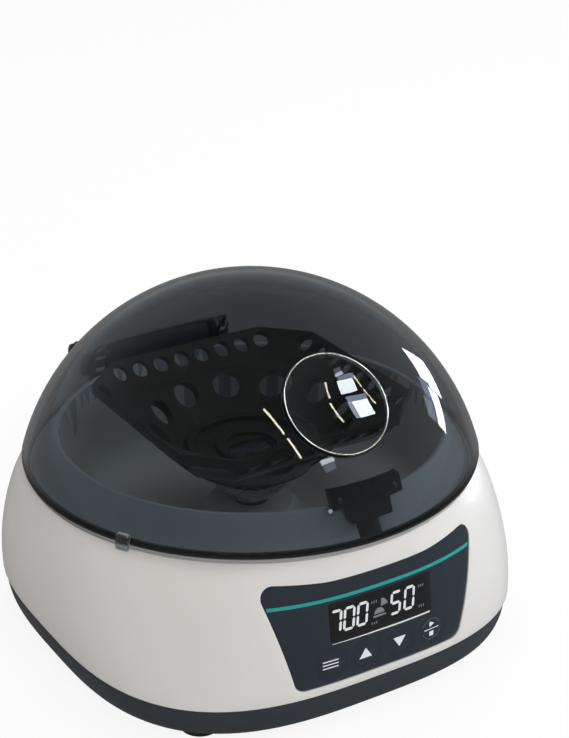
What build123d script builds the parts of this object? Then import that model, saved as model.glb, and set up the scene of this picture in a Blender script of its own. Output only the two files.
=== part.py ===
from build123d import *
import os
from math import acos, atan2, cos, degrees, hypot, pi, radians, sin, sqrt, tan

# Mini centrifuge with a smoked dome lid, a square combination rotor and a front display panel.
# Millimetres. The rotor axis is X = Y = 0, the table is Z = 0 and the front faces -Y.

# Body outline
rim_r = 84.0              # radius of the body's round top edge
rim_z = 65.5              # height of that edge above the table
seam_depth = 49.7         # top edge down to the seam between shell and base
seam_a = 87.8             # half width at the seam
seam_b = 88.8             # half depth at the seam
seam_n = 3.0             # squareness of the seam outline, 2 is round
bulge_even = 1.65         # outward swell at mid height
bulge_low = 0.41          # extra swell near the seam
square_rise = 0.62        # how fast the outline turns from round to square
outline_points = 32
shell_wall = 3.0
base_z = 4.4              # underside of the base tray
base_taper = 3.0          # how far the tray draws in towards its underside
tray_wall = 2.4
seam_step = 0.5           # the tray stands this far inside the shell

# Top edge, deck and bowl
ledge_in = 7.0            # width of the shell's ledge that carries the deck
ledge_t = 3.0
step_h = 1.2              # low step ring under the lid
step_gap = 0.15
step_w = 1.9
deck_flange_t = 1.8
lip_r = 71.0              # round opening of the bowl
lip_h = 12.5              # height of the lip over the top edge
bowl_wall = 2.2
bowl_floor_t = 3.5
bowl_depth = 27.0         # top edge down to the bowl's floor
bowl_low_r = 67.0
boss_r = 16.0
boss_h = 6.0

# Lid
dome_r = 89.0             # outer radius of the dome's sphere
dome_top = 67.2           # top of the dome over the top edge
dome_wall = 2.5
lid_gap = 3.4             # lower edge of the dome over the top edge
gasket_t = 1.1
dimple_r = 19.1           # rim of the round dimple
dimple_ball = 45.0        # radius of its hollow
dimple_tilt = 41.9        # from straight up towards the front, degrees
lid_tab_turn = -61.0      # the clear tab, measured from the front, degrees
lid_tab_w = 5.0

# Hinge
hinge_y = 83.0
hinge_h = 13.5            # hinge axis over the top edge
knuckle_r = 6.1
lug_out = 30.5
lug_t = 4.2
hinge_gap = 0.7
hinge_foot_y = 77.6       # front of the hinge block's foot
hinge_screw_y = 79.9
hinge_pin_d = 4.0
hinge_head_d = 11.2        # round heads at both ends of the pin
pin_play = 0.05           # radial running play of pins and shafts
notch_h = 21.5            # top of the lid's rear cut-out over the top edge

# Latch
latch_half_w = 14.0
latch_block_w = 16.0
latch_top_h = 19.8
latch_low_h = 9.0
latch_gap = 1.4           # the latch's block clears the deck by this much
prong_w = 4.0
latch_slot_w = 9.0
prong_y = -76.1
prong_d = 4.8
prong_low_h = -9.0
eye_d = 3.4
eye_h = -5.8
bolt_d = 2.6
bolt_gap = 0.9            # released bolt to the prong
latch_screw_d = 1.6
latch_screw_l = 3.8

# Control panel
panel_inset = 0.4         # the panel's face lies this far inside the shell's face
panel_back = 1.8          # depth of the recess that takes the panel
panel_gap = 0.2
panel_top_half = 44.7
panel_low_half = 33.8
panel_top_h = -8.2
panel_corner_h = -6.2
panel_low_h = -46.4
panel_corner_r = 4.6
stripe_h = -14.3
stripe_w = 1.2
window_half = 21.0
window_top_h = -16.0
window_low_h = -30.6
key_h = -38.4
key_x = [-21.2, -7.1, 7.1, 21.2]
key_names = ["menu_key", "up_key", "down_key", "start_stop_key"]
key_d = 10.8
key_gap = 0.2
key_stem_d = 5.0
key_travel = 0.4
board_y = -78.0
board_t = 1.6
switch_w = 6.0
switch_h = 3.6

# Rotor
rotor_half = 48.5         # half the square's side
rotor_corner = 15.7       # corner chamfer of the square
rotor_top_h = 25.4        # top edge of the rotor over the body's top edge
rotor_break = 38.8        # where the cone meets the square panels
rotor_wall = 4.0          # wall measured straight down
tube_r = 34.4
tube_hole_d = 11.0
tube_count = 12
pcr_r = 44.4
pcr_pitch = 9.0
pcr_hole_d = 6.6
pcr_count = 8
ring_r = 24.0
ring_w = 2.4
ring_h = 2.6
rotor_disc_t = 5.0
rotor_hub_r = 13.0
rotor_hub_h = 6.0
key_slot_w = 8.9
key_slot_l = 16.7
key_play = 0.1

# Drive
shaft_d = 5.0
motor_d = 44.0
motor_h = 20.0
motor_wall = 2.0
bearing_d = 16.0
bearing_t = 5.0
damper_h = 3.0
damper_r = 5.0
damper_pitch_r = 34.0
plate_t = 1.5
plate_r = 40.0
hub_flange_r = 14.0
hub_flange_t = 3.5
hub_body_r = 8.0
seal_play = 0.3

# Feet, screws and boards
foot_x = 58.0
foot_y = 62.0
foot_r = 8.0
foot_plug_r = 4.0
screw_x = 75.0
screw_y = 28.0
column_r = 4.0
screw_d = 3.0
screw_play = 0.05

# Power inlet, switch and lead
rear_y = 85.2             # flat face of the rear recess
rear_low = 17.5
rear_high = 44.5
rear_left = -46.0
rear_right = 20.0
rear_pad = 4.0
inlet_z = 30.0
inlet_w = 24.2
inlet_hh = 16.8
inlet_gap = 0.5           # clear distance from the inlet's back to the bowl
inlet_deep = rear_y - 0.5 - bowl_low_r - bowl_wall - inlet_gap
rocker_x = -34.0
rocker_r = 9.2
rocker_w = 12.2
rocker_rise = 3.6
rocker_face = 10.0        # slope of each half of the rocker, degrees
cord_d = 6.2
layer_gap = 1.4
turn_gap = 0.8
climb_inset = 0.8         # the climbing half turn lies this much further in
half_turns = 6            # half turns of each layer of the coil
coil_x = 98.0
coil_y = 160.0
coil_out_r = 44.0
plug_r = 19.8
plug_pitch = 19.0
plug_pin_d = 4.8
plug_pin_l = 19.0
pin_tail = 12.0
pin_tail_r = 1.8

dome_z = rim_z + dome_top - dome_r
eps = 0.01


def save(name, shape):
    """Write one named piece to its own file."""
    part = shape if isinstance(shape, Compound) else Compound(children=[shape])
    export_step(part, os.path.join("parts", name + ".step"))


def rounded_face(corners):
    """Closed flat face from (x, y, radius) corners, each rounded by its own radius."""
    pieces = []
    trims = []
    count = len(corners)
    for i in range(count):
        x, y, r = corners[i]
        px, py, _ = corners[i - 1]
        nx, ny, _ = corners[(i + 1) % count]
        here = Vector(x, y)
        before = (Vector(px, py) - here).normalized()
        after = (Vector(nx, ny) - here).normalized()
        if r == 0:
            trims.append((here, None, here))
            continue
        half = radians(before.get_angle(after)) / 2
        cut = r / tan(half)
        middle = here + (before + after).normalized() * (r / sin(half) - r)
        trims.append((here + before * cut, middle, here + after * cut))
    for i in range(count):
        start, middle, end = trims[i]
        if middle is not None:
            pieces.append(ThreePointArc(start, middle, end))
        pieces.append(Line(end, trims[(i + 1) % count][0]))
    return make_face(Wire([p.edge() for p in pieces]))


def turned(corners):
    """Solid of revolution about Z from (radius, height, rounding) corners."""
    return revolve(Plane.XZ * rounded_face(corners), Axis.Z)


def side_prism(corners, x0, x1):
    """Prism along X from (y, z, rounding) corners."""
    return extrude(Plane.YZ.offset(x0) * rounded_face(corners), x1 - x0)


def rod(d, start, end):
    """Round rod between two points."""
    a = Vector(*start)
    b = Vector(*end)
    return extrude(Plane(a, z_dir=(b - a).normalized()) * Circle(d / 2), (b - a).length)


def block(x0, x1, y0, y1, z0, z1):
    """Box between two corners."""
    return Pos((x0 + x1) / 2, (y0 + y1) / 2, (z0 + z1) / 2) * Box(x1 - x0, y1 - y0, z1 - z0)


def screw(shank_d, length, head_d, head_h):
    """Pan-head screw along +Z with its head's seat at Z = 0 and a hexagon socket."""
    body = Cylinder(shank_d / 2, length, align=(Align.CENTER, Align.CENTER, Align.MIN))
    head = Pos(0, 0, -head_h) * Cylinder(head_d / 2, head_h, align=(Align.CENTER, Align.CENTER, Align.MIN))
    socket = Pos(0, 0, -head_h) * extrude(RegularPolygon(shank_d * 0.42, 6), head_h * 0.6)
    return body + head - socket


def level(depth, inset):
    """Half width, half depth and squareness of the body at a depth below its top edge."""
    t = depth / seam_depth
    swell = bulge_even * 4 * t * (1 - t) + bulge_low * 6.75 * t * t * (1 - t)
    a = rim_r + (seam_a - rim_r) * t + swell - inset
    b = rim_r + (seam_b - rim_r) * t + swell - inset
    return a, b, 2 + (seam_n - 2) * max(t, 0.0) ** square_rise


def ring_face(a, b, n, z):
    """Flat face inside one superellipse outline."""
    points = []
    for i in range(outline_points):
        turn = 2 * pi * i / outline_points
        r = (abs(cos(turn) / a) ** n + abs(sin(turn) / b) ** n) ** (-1 / n)
        points.append((r * cos(turn), r * sin(turn), z))
    return make_face(Spline(*points, periodic=True))


def body_solid(inset, top, low):
    """Solid inside the shell's outline, from one depth to another, drawn in by inset."""
    steps = 5
    faces = []
    for i in range(steps + 1):
        depth = top + (low - top) * i / steps
        a, b, n = level(depth, inset)
        faces.append(ring_face(a, b, n, rim_z - depth))
    return loft(faces)


def front_prism(corners):
    """Prism along Y through the front wall from (x, height over the top edge, rounding) corners."""
    face = rounded_face([(x, z + rim_z, r) for x, z, r in corners])
    return extrude(Plane.XZ.offset(rim_r * 0.78) * face, rim_r * 0.4)


def panel_corners(grow):
    """Corners of the control panel's outline, grown by a gap."""
    top = panel_top_half + grow
    low = panel_low_half + grow
    mid = top * 0.45
    return [
        (-low, panel_low_h - grow, panel_corner_r),
        (low, panel_low_h - grow, panel_corner_r),
        (top, panel_corner_h + grow, panel_corner_r),
        (mid, panel_top_h + grow, 60),
        (-mid, panel_top_h + grow, 60),
        (-top, panel_corner_h + grow, panel_corner_r),
    ]


def window_corners(grow):
    """Corners of the display window's outline, grown by a gap."""
    return [
        (-window_half - grow, window_low_h - grow, 1.0),
        (window_half + grow, window_low_h - grow, 1.0),
        (window_half + grow, window_top_h + grow, 1.0),
        (-window_half - grow, window_top_h + grow, 1.0),
    ]


def key_cutter(x, d):
    """Round bore along Y through the front wall at one key."""
    return rod(d, (x, -rim_r * 0.8, rim_z + key_h), (x, -rim_r * 1.2, rim_z + key_h))


def column_places():
    """Places of the four columns that join base and shell."""
    return [(sx * screw_x, sy * screw_y) for sx in (-1, 1) for sy in (-1, 1)]


def foot_places():
    """Places of the four feet with their names."""
    names = {(-1, -1): "foot_front_left", (1, -1): "foot_front_right",
             (-1, 1): "foot_rear_left", (1, 1): "foot_rear_right"}
    return [(names[key], key[0] * foot_x, key[1] * foot_y) for key in names]


# Heights worked out from the sizes above
seam_z = rim_z - seam_depth
floor_z = base_z + tray_wall
bowl_floor_z = rim_z - bowl_depth
bowl_under_z = bowl_floor_z - bowl_floor_t
plate_top_z = bowl_under_z - damper_h
motor_top_z = plate_top_z - plate_t
motor_low_z = motor_top_z - motor_h
cone_low_z = rim_z + rotor_top_h - (rotor_half - rotor_break) - (rotor_break - ring_r)
disc_low_z = cone_low_z - rotor_disc_t
hub_top_z = disc_low_z - rotor_hub_h
deck_r = rim_r - shell_wall + step_gap
step_in_r = deck_r + step_gap
hinge_z = rim_z + hinge_h
key_z = rim_z + key_h
column_top_z = rim_z - ledge_t / 2
column_low_z = base_z + 8.0


def make_shell():
    """White upper shell with its ledge, columns, rear recess and hinge landing."""
    outer = body_solid(0, 0, seam_depth)
    inner = body_solid(shell_wall, -1, seam_depth + 1)
    shell = outer - inner
    ledge = turned([
        (rim_r - ledge_in, rim_z - ledge_t, 0),
        (rim_r - 1.0, rim_z - ledge_t, 0),
        (rim_r - 1.0, rim_z, 0),
        (rim_r - ledge_in, rim_z, 0),
    ])
    step = turned([
        (step_in_r, rim_z - 0.5, 0),
        (step_in_r + step_w, rim_z - 0.5, 0),
        (step_in_r + step_w, rim_z + step_h - 0.3, 0),
        (step_in_r + step_w - 0.3, rim_z + step_h, 0),
        (step_in_r, rim_z + step_h, 0),
    ])
    step -= block(-lug_out, lug_out, 0, rim_r * 1.2, rim_z - 1, rim_z + step_h + 1)
    shell += ledge + step
    shell -= latch_slot()
    core = body_solid(eps, 0, seam_depth)
    for x, y in column_places():
        column = Pos(x, y, column_low_z) * Cylinder(
            column_r, column_top_z - column_low_z, align=(Align.CENTER, Align.CENTER, Align.MIN))
        shell += column & block(-200, 200, -200, 200, seam_z - 4, rim_z)
        shell -= rod(screw_d + 2 * screw_play, (x, y, 0), (x, y, column_low_z + 12))
    pad = block(rear_left - 3, rear_right + 3, rear_y - rear_pad, rim_r * 1.2,
                rear_low - 2, rear_high + 3) & core
    shell += pad
    recess = Pos((rear_left + rear_right) / 2, rear_y + 10, (rear_low + rear_high) / 2) * Box(
        rear_right - rear_left, 20, rear_high - rear_low)
    recess = fillet(recess.edges().filter_by(Axis.Y), 3.0)
    shell -= recess
    landing = side_prism([
        (rim_r - shell_wall - 2.5, rim_z, 0),
        (hinge_y + 6.0, rim_z, 0),
        (hinge_y + 6.0, rim_z - 3.0, 0),
        (rim_r + 1.2, rim_z - 9.5, 0),
        (rim_r - shell_wall - 2.5, rim_z - 9.5, 0),
    ], -lug_out + lug_t + 0.2, lug_out - lug_t - 0.2)
    shell += landing
    for x, y in hinge_screw_places():
        shell -= rod(deck_screw_d + 2 * screw_play, (x, y, rim_z - 12), (x, y, rim_z + 1))
    for x, y in deck_screw_places():
        shell -= rod(deck_screw_d + 2 * screw_play, (x, y, rim_z - 6), (x, y, rim_z + 1))
    panel_cut = front_prism(panel_corners(panel_gap)) - body_solid(panel_back, -1, seam_depth + 1)
    shell -= panel_cut
    shell -= front_prism([(-window_half - 0.6, window_low_h - 0.5, 1), (window_half + 0.6, window_low_h - 0.5, 1),
                          (window_half + 0.6, window_top_h + 0.5, 1), (-window_half - 0.6, window_top_h + 0.5, 1)])
    for x in key_x:
        shell -= key_cutter(x, key_d + 2 * key_gap)
    for x, z in board_posts():
        post = rod(5.0, (x, board_y - board_t / 2, z), (x, -rim_r * 1.2, z))
        shell += post & body_solid(shell_wall - eps * 10, 0, seam_depth)
        shell -= rod(2.1, (x, board_y, z), (x, board_y - 4.6, z))
    inlet_hole = block(-inlet_w / 2 - 1.5, inlet_w / 2 + 1.5, rear_y - 30, rear_y + 1,
                       inlet_z - inlet_hh / 2 - 1.5, inlet_z + inlet_hh / 2 + 1.5)
    switch_hole = block(rocker_x - rocker_w / 2 - 1.0, rocker_x + rocker_w / 2 + 1.0, rear_y - 30, rear_y + 1,
                        inlet_z - rocker_r - 1.0, inlet_z + rocker_r + 1.0)
    shell -= inlet_hole + switch_hole
    return shell


def hinge_screw_places():
    """Places of the two screws under the hinge block."""
    return [(-16.0, hinge_screw_y), (16.0, hinge_screw_y)]


deck_screw_d = 2.5


def deck_screw_places():
    """Places of the four screws that hold the deck to the shell's ledge."""
    r = rim_r - ledge_in + 2.1
    return [(r * cos(radians(t)), r * sin(radians(t))) for t in (40, 140, 220, 320)]


def board_posts():
    """Places of the display board's four posts, as (x, z)."""
    return [(x, rim_z + z) for x in (-31.0, 31.0) for z in (-21.0, -40.0)]


def make_bowl():
    """Deck ring, lip and bowl in one moulding."""
    bowl = turned([
        (rim_r - ledge_in - 1.0, rim_z + eps, 0),
        (deck_r, rim_z + eps, 0),
        (deck_r, rim_z + deck_flange_t, 0.4),
        (deck_r - 1.2, rim_z + deck_flange_t, 1.5),
        (lip_r + 1.6, rim_z + lip_h + 0.2, 1.0),
        (lip_r - 0.2, rim_z + lip_h + 0.2, 1.0),
        (bowl_low_r, bowl_floor_z, 9.0),
        (boss_r + 4.0, bowl_floor_z, 4.0),
        (boss_r, bowl_floor_z + boss_h, 1.5),
        (shaft_d / 2 + 4.0, bowl_floor_z + boss_h, 0),
        (shaft_d / 2 + 4.0, bowl_under_z, 0),
        (bowl_low_r + bowl_wall, bowl_under_z, 9.0),
        (lip_r + bowl_wall, rim_z + lip_h - 6.0, 0.5),
    ])
    for i in range(3):
        turn = radians(90 + 120 * i)
        x = damper_pitch_r * cos(turn)
        y = damper_pitch_r * sin(turn)
        bowl -= rod(screw_d + 2 * screw_play, (x, y, bowl_under_z - 1), (x, y, bowl_under_z + 2.6))
    for x, y in deck_screw_places():
        bowl -= rod(deck_screw_d + 2 * screw_play, (x, y, rim_z - 1), (x, y, rim_z + 1.3))
    bowl -= latch_slot()
    bowl -= block(-lug_out + lug_t - 0.3, lug_out - lug_t + 0.3, hinge_foot_y - 0.3, rim_r, rim_z - 1, rim_z + lip_h)
    bowl -= led_rod(led_d + 0.1, 8)
    return bowl


def latch_slot():
    """Slot through deck and ledge for the latch's prong."""
    return block(-latch_slot_w / 2, latch_slot_w / 2, prong_y - prong_d / 2 - 1.8,
                 prong_y + prong_d / 2 + 0.9, rim_z - ledge_t - 1, rim_z + lip_h + 3)


led_d = 1.4
led_turn = -9.4


def led_rod(d, length):
    """Rod through the deck's slope at the small light, square to the slope."""
    r = 73.6
    z = rim_z + deck_flange_t + (deck_r - 1.2 - r) * (lip_h + 0.2 - deck_flange_t) / (deck_r - 1.2 - lip_r - 1.6)
    out = radians(led_turn - 90)
    place = Vector(r * cos(out), r * sin(out), z)
    slope = Vector(cos(out), sin(out), (deck_r - 1.2 - lip_r - 1.6) / (lip_h + 0.2 - deck_flange_t)).normalized()
    low = place - slope * (length - 0.4)
    high = place + slope * 0.3
    return rod(d, tuple(low), tuple(high))


def dome_space(outset):
    """Inside of a dome drawn at an offset from the outer surface, dimple included."""
    ball = Pos(0, 0, dome_z) * Sphere(dome_r + outset)
    far = sqrt(dome_r ** 2 - dimple_r ** 2) + sqrt(dimple_ball ** 2 - dimple_r ** 2)
    tilt = radians(dimple_tilt)
    hollow = Pos(0, -far * sin(tilt), dome_z + far * cos(tilt)) * Sphere(dimple_ball - outset)
    return ball - hollow


def make_dome():
    """Smoked dome with its dimple and hinge lugs."""
    low = rim_z + lid_gap
    inside = dome_space(-dome_wall)
    dome = dome_space(0) - inside
    dome &= block(-150, 150, -150, 150, low, rim_z + 150)
    half = lug_out - lug_t
    dome -= block(-half, half, rim_r * 0.5, rim_r * 1.2, low - 1, rim_z + notch_h)
    for side in (-1, 1):
        x0 = side * lug_out if side < 0 else side * half
        arm = side_prism([
            (hinge_y - 12.0, low + 1.0, 0),
            (hinge_y - 1.0, hinge_z - knuckle_r + 0.1, 0),
            (hinge_y + 1.0, hinge_z + knuckle_r - 0.2, 0),
            (hinge_y - 14.0, hinge_z + knuckle_r + 4.0, 0),
        ], x0, x0 + lug_t)
        arm += rod(2 * knuckle_r, (x0, hinge_y, hinge_z), (x0 + lug_t, hinge_y, hinge_z))
        arm -= inside
        dome += arm
        dome -= rod(hinge_pin_d + 2 * pin_play, (x0 - 1, hinge_y, hinge_z), (x0 + lug_t + 1, hinge_y, hinge_z))
    for x, y, z in latch_screw_places():
        dome -= rod(latch_screw_d + 0.1, (x, y, z), (x, y - latch_screw_l - 0.2, z))
    return dome


def make_gasket():
    """Soft black ring under the dome's edge."""
    top = rim_z + lid_gap - eps
    outer = sqrt(dome_r ** 2 - (rim_z + lid_gap - dome_z) ** 2) - 0.2
    ring = turned([(outer - 3.6, top - gasket_t, 0), (outer, top - gasket_t, 0),
                   (outer, top, 0), (outer - 3.6, top, 0)])
    half = lug_out
    return ring - block(-half, half, rim_r * 0.5, rim_r * 1.2, rim_z, rim_z + 10)


def make_lid_tab():
    """Small clear tab that hangs over the joint at the lid's left edge."""
    low = rim_z + lid_gap
    outer = sqrt(dome_r ** 2 - (low - dome_z) ** 2)
    tab = block(-lid_tab_w / 2, lid_tab_w / 2, -outer - 1.4, -outer - 0.1, rim_z + 0.4, low + 2.6)
    tab += block(-lid_tab_w / 2, lid_tab_w / 2, -outer - 1.4, -outer + 2.0, low + 0.3, low + 2.6)
    tab = fillet(tab.edges().filter_by(Axis.Y), 0.5)
    tab = Rot(0, 0, lid_tab_turn) * tab
    return tab - Pos(0, 0, dome_z) * Sphere(dome_r + eps)


def make_latch():
    """Black latch bracket inside the dome with its eye prong and two wings."""
    skin = Pos(0, 0, dome_z) * Sphere(dome_r - dome_wall - eps)
    wing = block(-latch_half_w, latch_half_w, -rim_r, -60, rim_z + latch_top_h - 5.6, rim_z + latch_top_h)
    wing &= skin
    wing -= Pos(0, 0, dome_z) * Sphere(dome_r - dome_wall - 2.4)
    slope = (lip_h + 0.2 - deck_flange_t) / (deck_r - 1.2 - lip_r - 1.6)
    front_h = deck_flange_t + latch_gap
    back_y = prong_y + prong_d / 2 + 1.0
    back_h = front_h + (back_y + deck_r - 1.2) * slope
    body = side_prism([
        (-rim_r, rim_z + latch_low_h, 0),
        (-deck_r + 1.2 + (latch_low_h - front_h) / slope, rim_z + latch_low_h, 0),
        (back_y, rim_z + back_h, 0),
        (back_y, rim_z + latch_top_h - 1.0, 1.0),
        (-rim_r, rim_z + latch_top_h - 1.0, 0),
    ], -latch_block_w / 2, latch_block_w / 2)
    body &= skin
    prong = block(-prong_w / 2, prong_w / 2, prong_y - prong_d / 2, prong_y + prong_d / 2,
                  rim_z + prong_low_h, rim_z + lip_h + 1.0)
    prong = fillet(prong.edges().filter_by(Axis.X), 1.2)
    latch = wing + body + prong
    latch -= rod(eye_d, (-5, prong_y, rim_z + eye_h), (5, prong_y, rim_z + eye_h))
    for x, y, z in latch_screw_places():
        latch -= rod(latch_screw_d + 0.1, (x, y, z), (x, y - 8, z))
        latch -= rod(3.8, (x, y, z), (x, y + 4, z))
    return latch


def latch_screw_places():
    """Seats of the two small screws through the latch's wings, at their inner side."""
    z = rim_z + latch_top_h - 2.8
    x = latch_half_w - 3.0
    r = dome_r - dome_wall - 2.4
    y = -sqrt(r ** 2 - (z - dome_z) ** 2 - x ** 2)
    return [(-x, y - 0.4, z), (x, y - 0.4, z)]


def make_latch_screws():
    """Two small screws that hold the latch to the dome."""
    out = []
    for x, y, z in latch_screw_places():
        out.append(Pos(x, y, z) * Rot(90, 0, 0) * screw(latch_screw_d, latch_screw_l, 3.4, 1.2))
    return Compound(children=out)


def make_hinge_block():
    """Black hinge block on the shell's rear landing."""
    half = lug_out - lug_t - hinge_gap
    body = side_prism([
        (hinge_foot_y, rim_z + eps, 0),
        (hinge_y + 5.8, rim_z + eps, 0),
        (hinge_y + 5.8, hinge_z, 0),
        (hinge_y - 5.8, hinge_z, 0),
        (hinge_foot_y, rim_z + 7.5, 0),
    ], -half, half)
    body += rod(11.8, (-half, hinge_y, hinge_z), (half, hinge_y, hinge_z))
    body -= rod(hinge_pin_d + 0.02, (-half - 1, hinge_y, hinge_z), (half + 1, hinge_y, hinge_z))
    for x, y in hinge_screw_places():
        body -= rod(deck_screw_d + 2 * screw_play, (x, y, rim_z - 1), (x, y, rim_z + 5.4))
    return body


def make_panel():
    """Dark front panel that follows the shell, open at the window and the keys."""
    skin = body_solid(panel_inset, 0, seam_depth) - body_solid(panel_back - eps, -1, seam_depth + 1)
    panel = skin & front_prism(panel_corners(0))
    panel -= front_prism(window_corners(0.05))
    for x in key_x:
        panel -= key_cutter(x, key_d + 2 * key_gap)
    stripe = stripe_prism(0.02) - body_solid(panel_inset + 0.5, -1, seam_depth + 1)
    return panel - stripe


def stripe_prism(grow):
    """Prism of the thin coloured line across the panel."""
    low = stripe_h - stripe_w / 2 - grow
    top = stripe_h + stripe_w / 2 + grow
    slope = (panel_top_half - panel_low_half) / (panel_corner_h - panel_low_h)
    half = panel_low_half + slope * (stripe_h - panel_low_h) - 0.6 + grow
    return front_prism([(-half, low, 0), (half, low, 0), (half, top, 0), (-half, top, 0)])


def make_stripe():
    """Thin teal line let into the panel."""
    skin = body_solid(panel_inset, 0, seam_depth) - body_solid(panel_inset + 0.5 - eps, -1, seam_depth + 1)
    return skin & stripe_prism(0)


def make_window():
    """Dark display window in the panel."""
    skin = body_solid(panel_inset, 0, seam_depth) - body_solid(panel_back - eps, -1, seam_depth + 1)
    return skin & front_prism(window_corners(0))


def make_key(x):
    """One round key with its stem."""
    skin = body_solid(panel_inset, 0, seam_depth) - body_solid(panel_back + 0.3, -1, seam_depth + 1)
    cap = skin & key_cutter(x, key_d)
    tip = board_y - board_t / 2 - switch_h - key_travel - 0.05
    stem = rod(key_stem_d, (x, tip, key_z), (x, -rim_r * 1.2, key_z))
    return cap + (stem & body_solid(panel_inset + 0.6, 0, seam_depth))


def make_tray():
    """Dark base tray with its floor, bosses and foot sockets."""
    a, b, n = level(seam_depth, 0)
    rows = [(seam_z - eps, seam_step), (seam_z - 5.0, seam_step + 0.6), (base_z + 2.6, base_taper * 0.62),
            (base_z, base_taper)]
    outer = loft([ring_face(a - s, b - s, n, z) for z, s in rows])
    inner = loft([ring_face(a - s - tray_wall, b - s - tray_wall, n, z)
                  for z, s in [(seam_z + 1.0, seam_step), (base_z + 2.6, base_taper * 0.62), (floor_z, base_taper * 0.8)]])
    tray = outer - inner
    for x, y in column_places():
        boss = Pos(x, y, base_z + 1) * Cylinder(
            column_r + 0.6, column_low_z - base_z - 1 - eps, align=(Align.CENTER, Align.CENTER, Align.MIN))
        tray += boss
        tray -= rod(screw_d + 2 * screw_play, (x, y, 0), (x, y, 40))
        tray -= rod(6.4, (x, y, 0), (x, y, base_z + 2.4))
    for _, x, y in foot_places():
        tray -= rod(2 * foot_plug_r + 0.1, (x, y, 0), (x, y, base_z + 2.0))
    for x, y in board_places():
        tray += rod(5.0, (x, y, floor_z - 1), (x, y, board_low_z))
        tray -= rod(2.1, (x, y, floor_z - 0.4), (x, y, board_low_z + 1))
    return tray


board_low_z = base_z + tray_wall + 4.0
power_board_x = -46.0
power_board_w = 40.0
power_board_l = 62.0
driver_board_x = 46.0


def board_places():
    """Places of the screws of the two flat boards in the tray."""
    out = []
    for cx in (power_board_x, driver_board_x):
        for sx in (-1, 1):
            for sy in (-1, 1):
                out.append((cx + sx * (power_board_w / 2 - 4), sy * (power_board_l / 2 - 4)))
    return out


def make_flat_board(cx):
    """Flat circuit board on its four posts."""
    board = block(cx - power_board_w / 2, cx + power_board_w / 2, -power_board_l / 2, power_board_l / 2,
                  board_low_z + eps, board_low_z + board_t)
    for x, y in board_places():
        board -= rod(2.3, (x, y, board_low_z - 1), (x, y, board_low_z + board_t + 1))
    return board


def make_board_screws():
    """Small screws of the three circuit boards."""
    out = []
    for x, y in board_places():
        out.append(Pos(x, y, board_low_z + board_t + eps) * Rot(180, 0, 0) * screw(2.0, 5.0, 3.8, 1.4))
    for x, z in board_posts():
        out.append(Pos(x, board_y + board_t / 2 + eps, z) * Rot(90, 0, 0) * screw(2.0, 4.8, 3.8, 1.4))
    return Compound(children=out)


def make_board_parts():
    """Transformer, capacitors, chips and sockets on the two flat boards."""
    z = board_low_z + board_t + eps
    up = (Align.CENTER, Align.CENTER, Align.MIN)
    out = [Pos(power_board_x - 4, -8, z) * Box(22, 20, 15, align=up)]
    out += [Pos(power_board_x - 10 + 14 * i, 12, z) * Cylinder(5.0, 16, align=up) for i in range(2)]
    out += [Pos(power_board_x + 14, 0, z) * Box(8, 16, 7, align=up)]
    out += [Pos(driver_board_x - 6 + 12 * i, 12, z) * Box(9, 9, 3, align=up) for i in range(2)]
    out += [Pos(driver_board_x - 12, -10 + 9 * i, z) * Cylinder(3.2, 9, align=up) for i in range(2)]
    out += [Pos(driver_board_x + 12, -8, z) * Box(7, 18, 8, align=up)]
    return Compound(children=out)


def make_display_board():
    """Upright circuit board behind the panel."""
    board = block(-36.5, 36.5, board_y - board_t / 2, board_y + board_t / 2, rim_z - 44.5, rim_z - 13.0)
    for x, z in board_posts():
        board -= rod(2.3, (x, board_y - 3, z), (x, board_y + 3, z))
    return board


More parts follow.
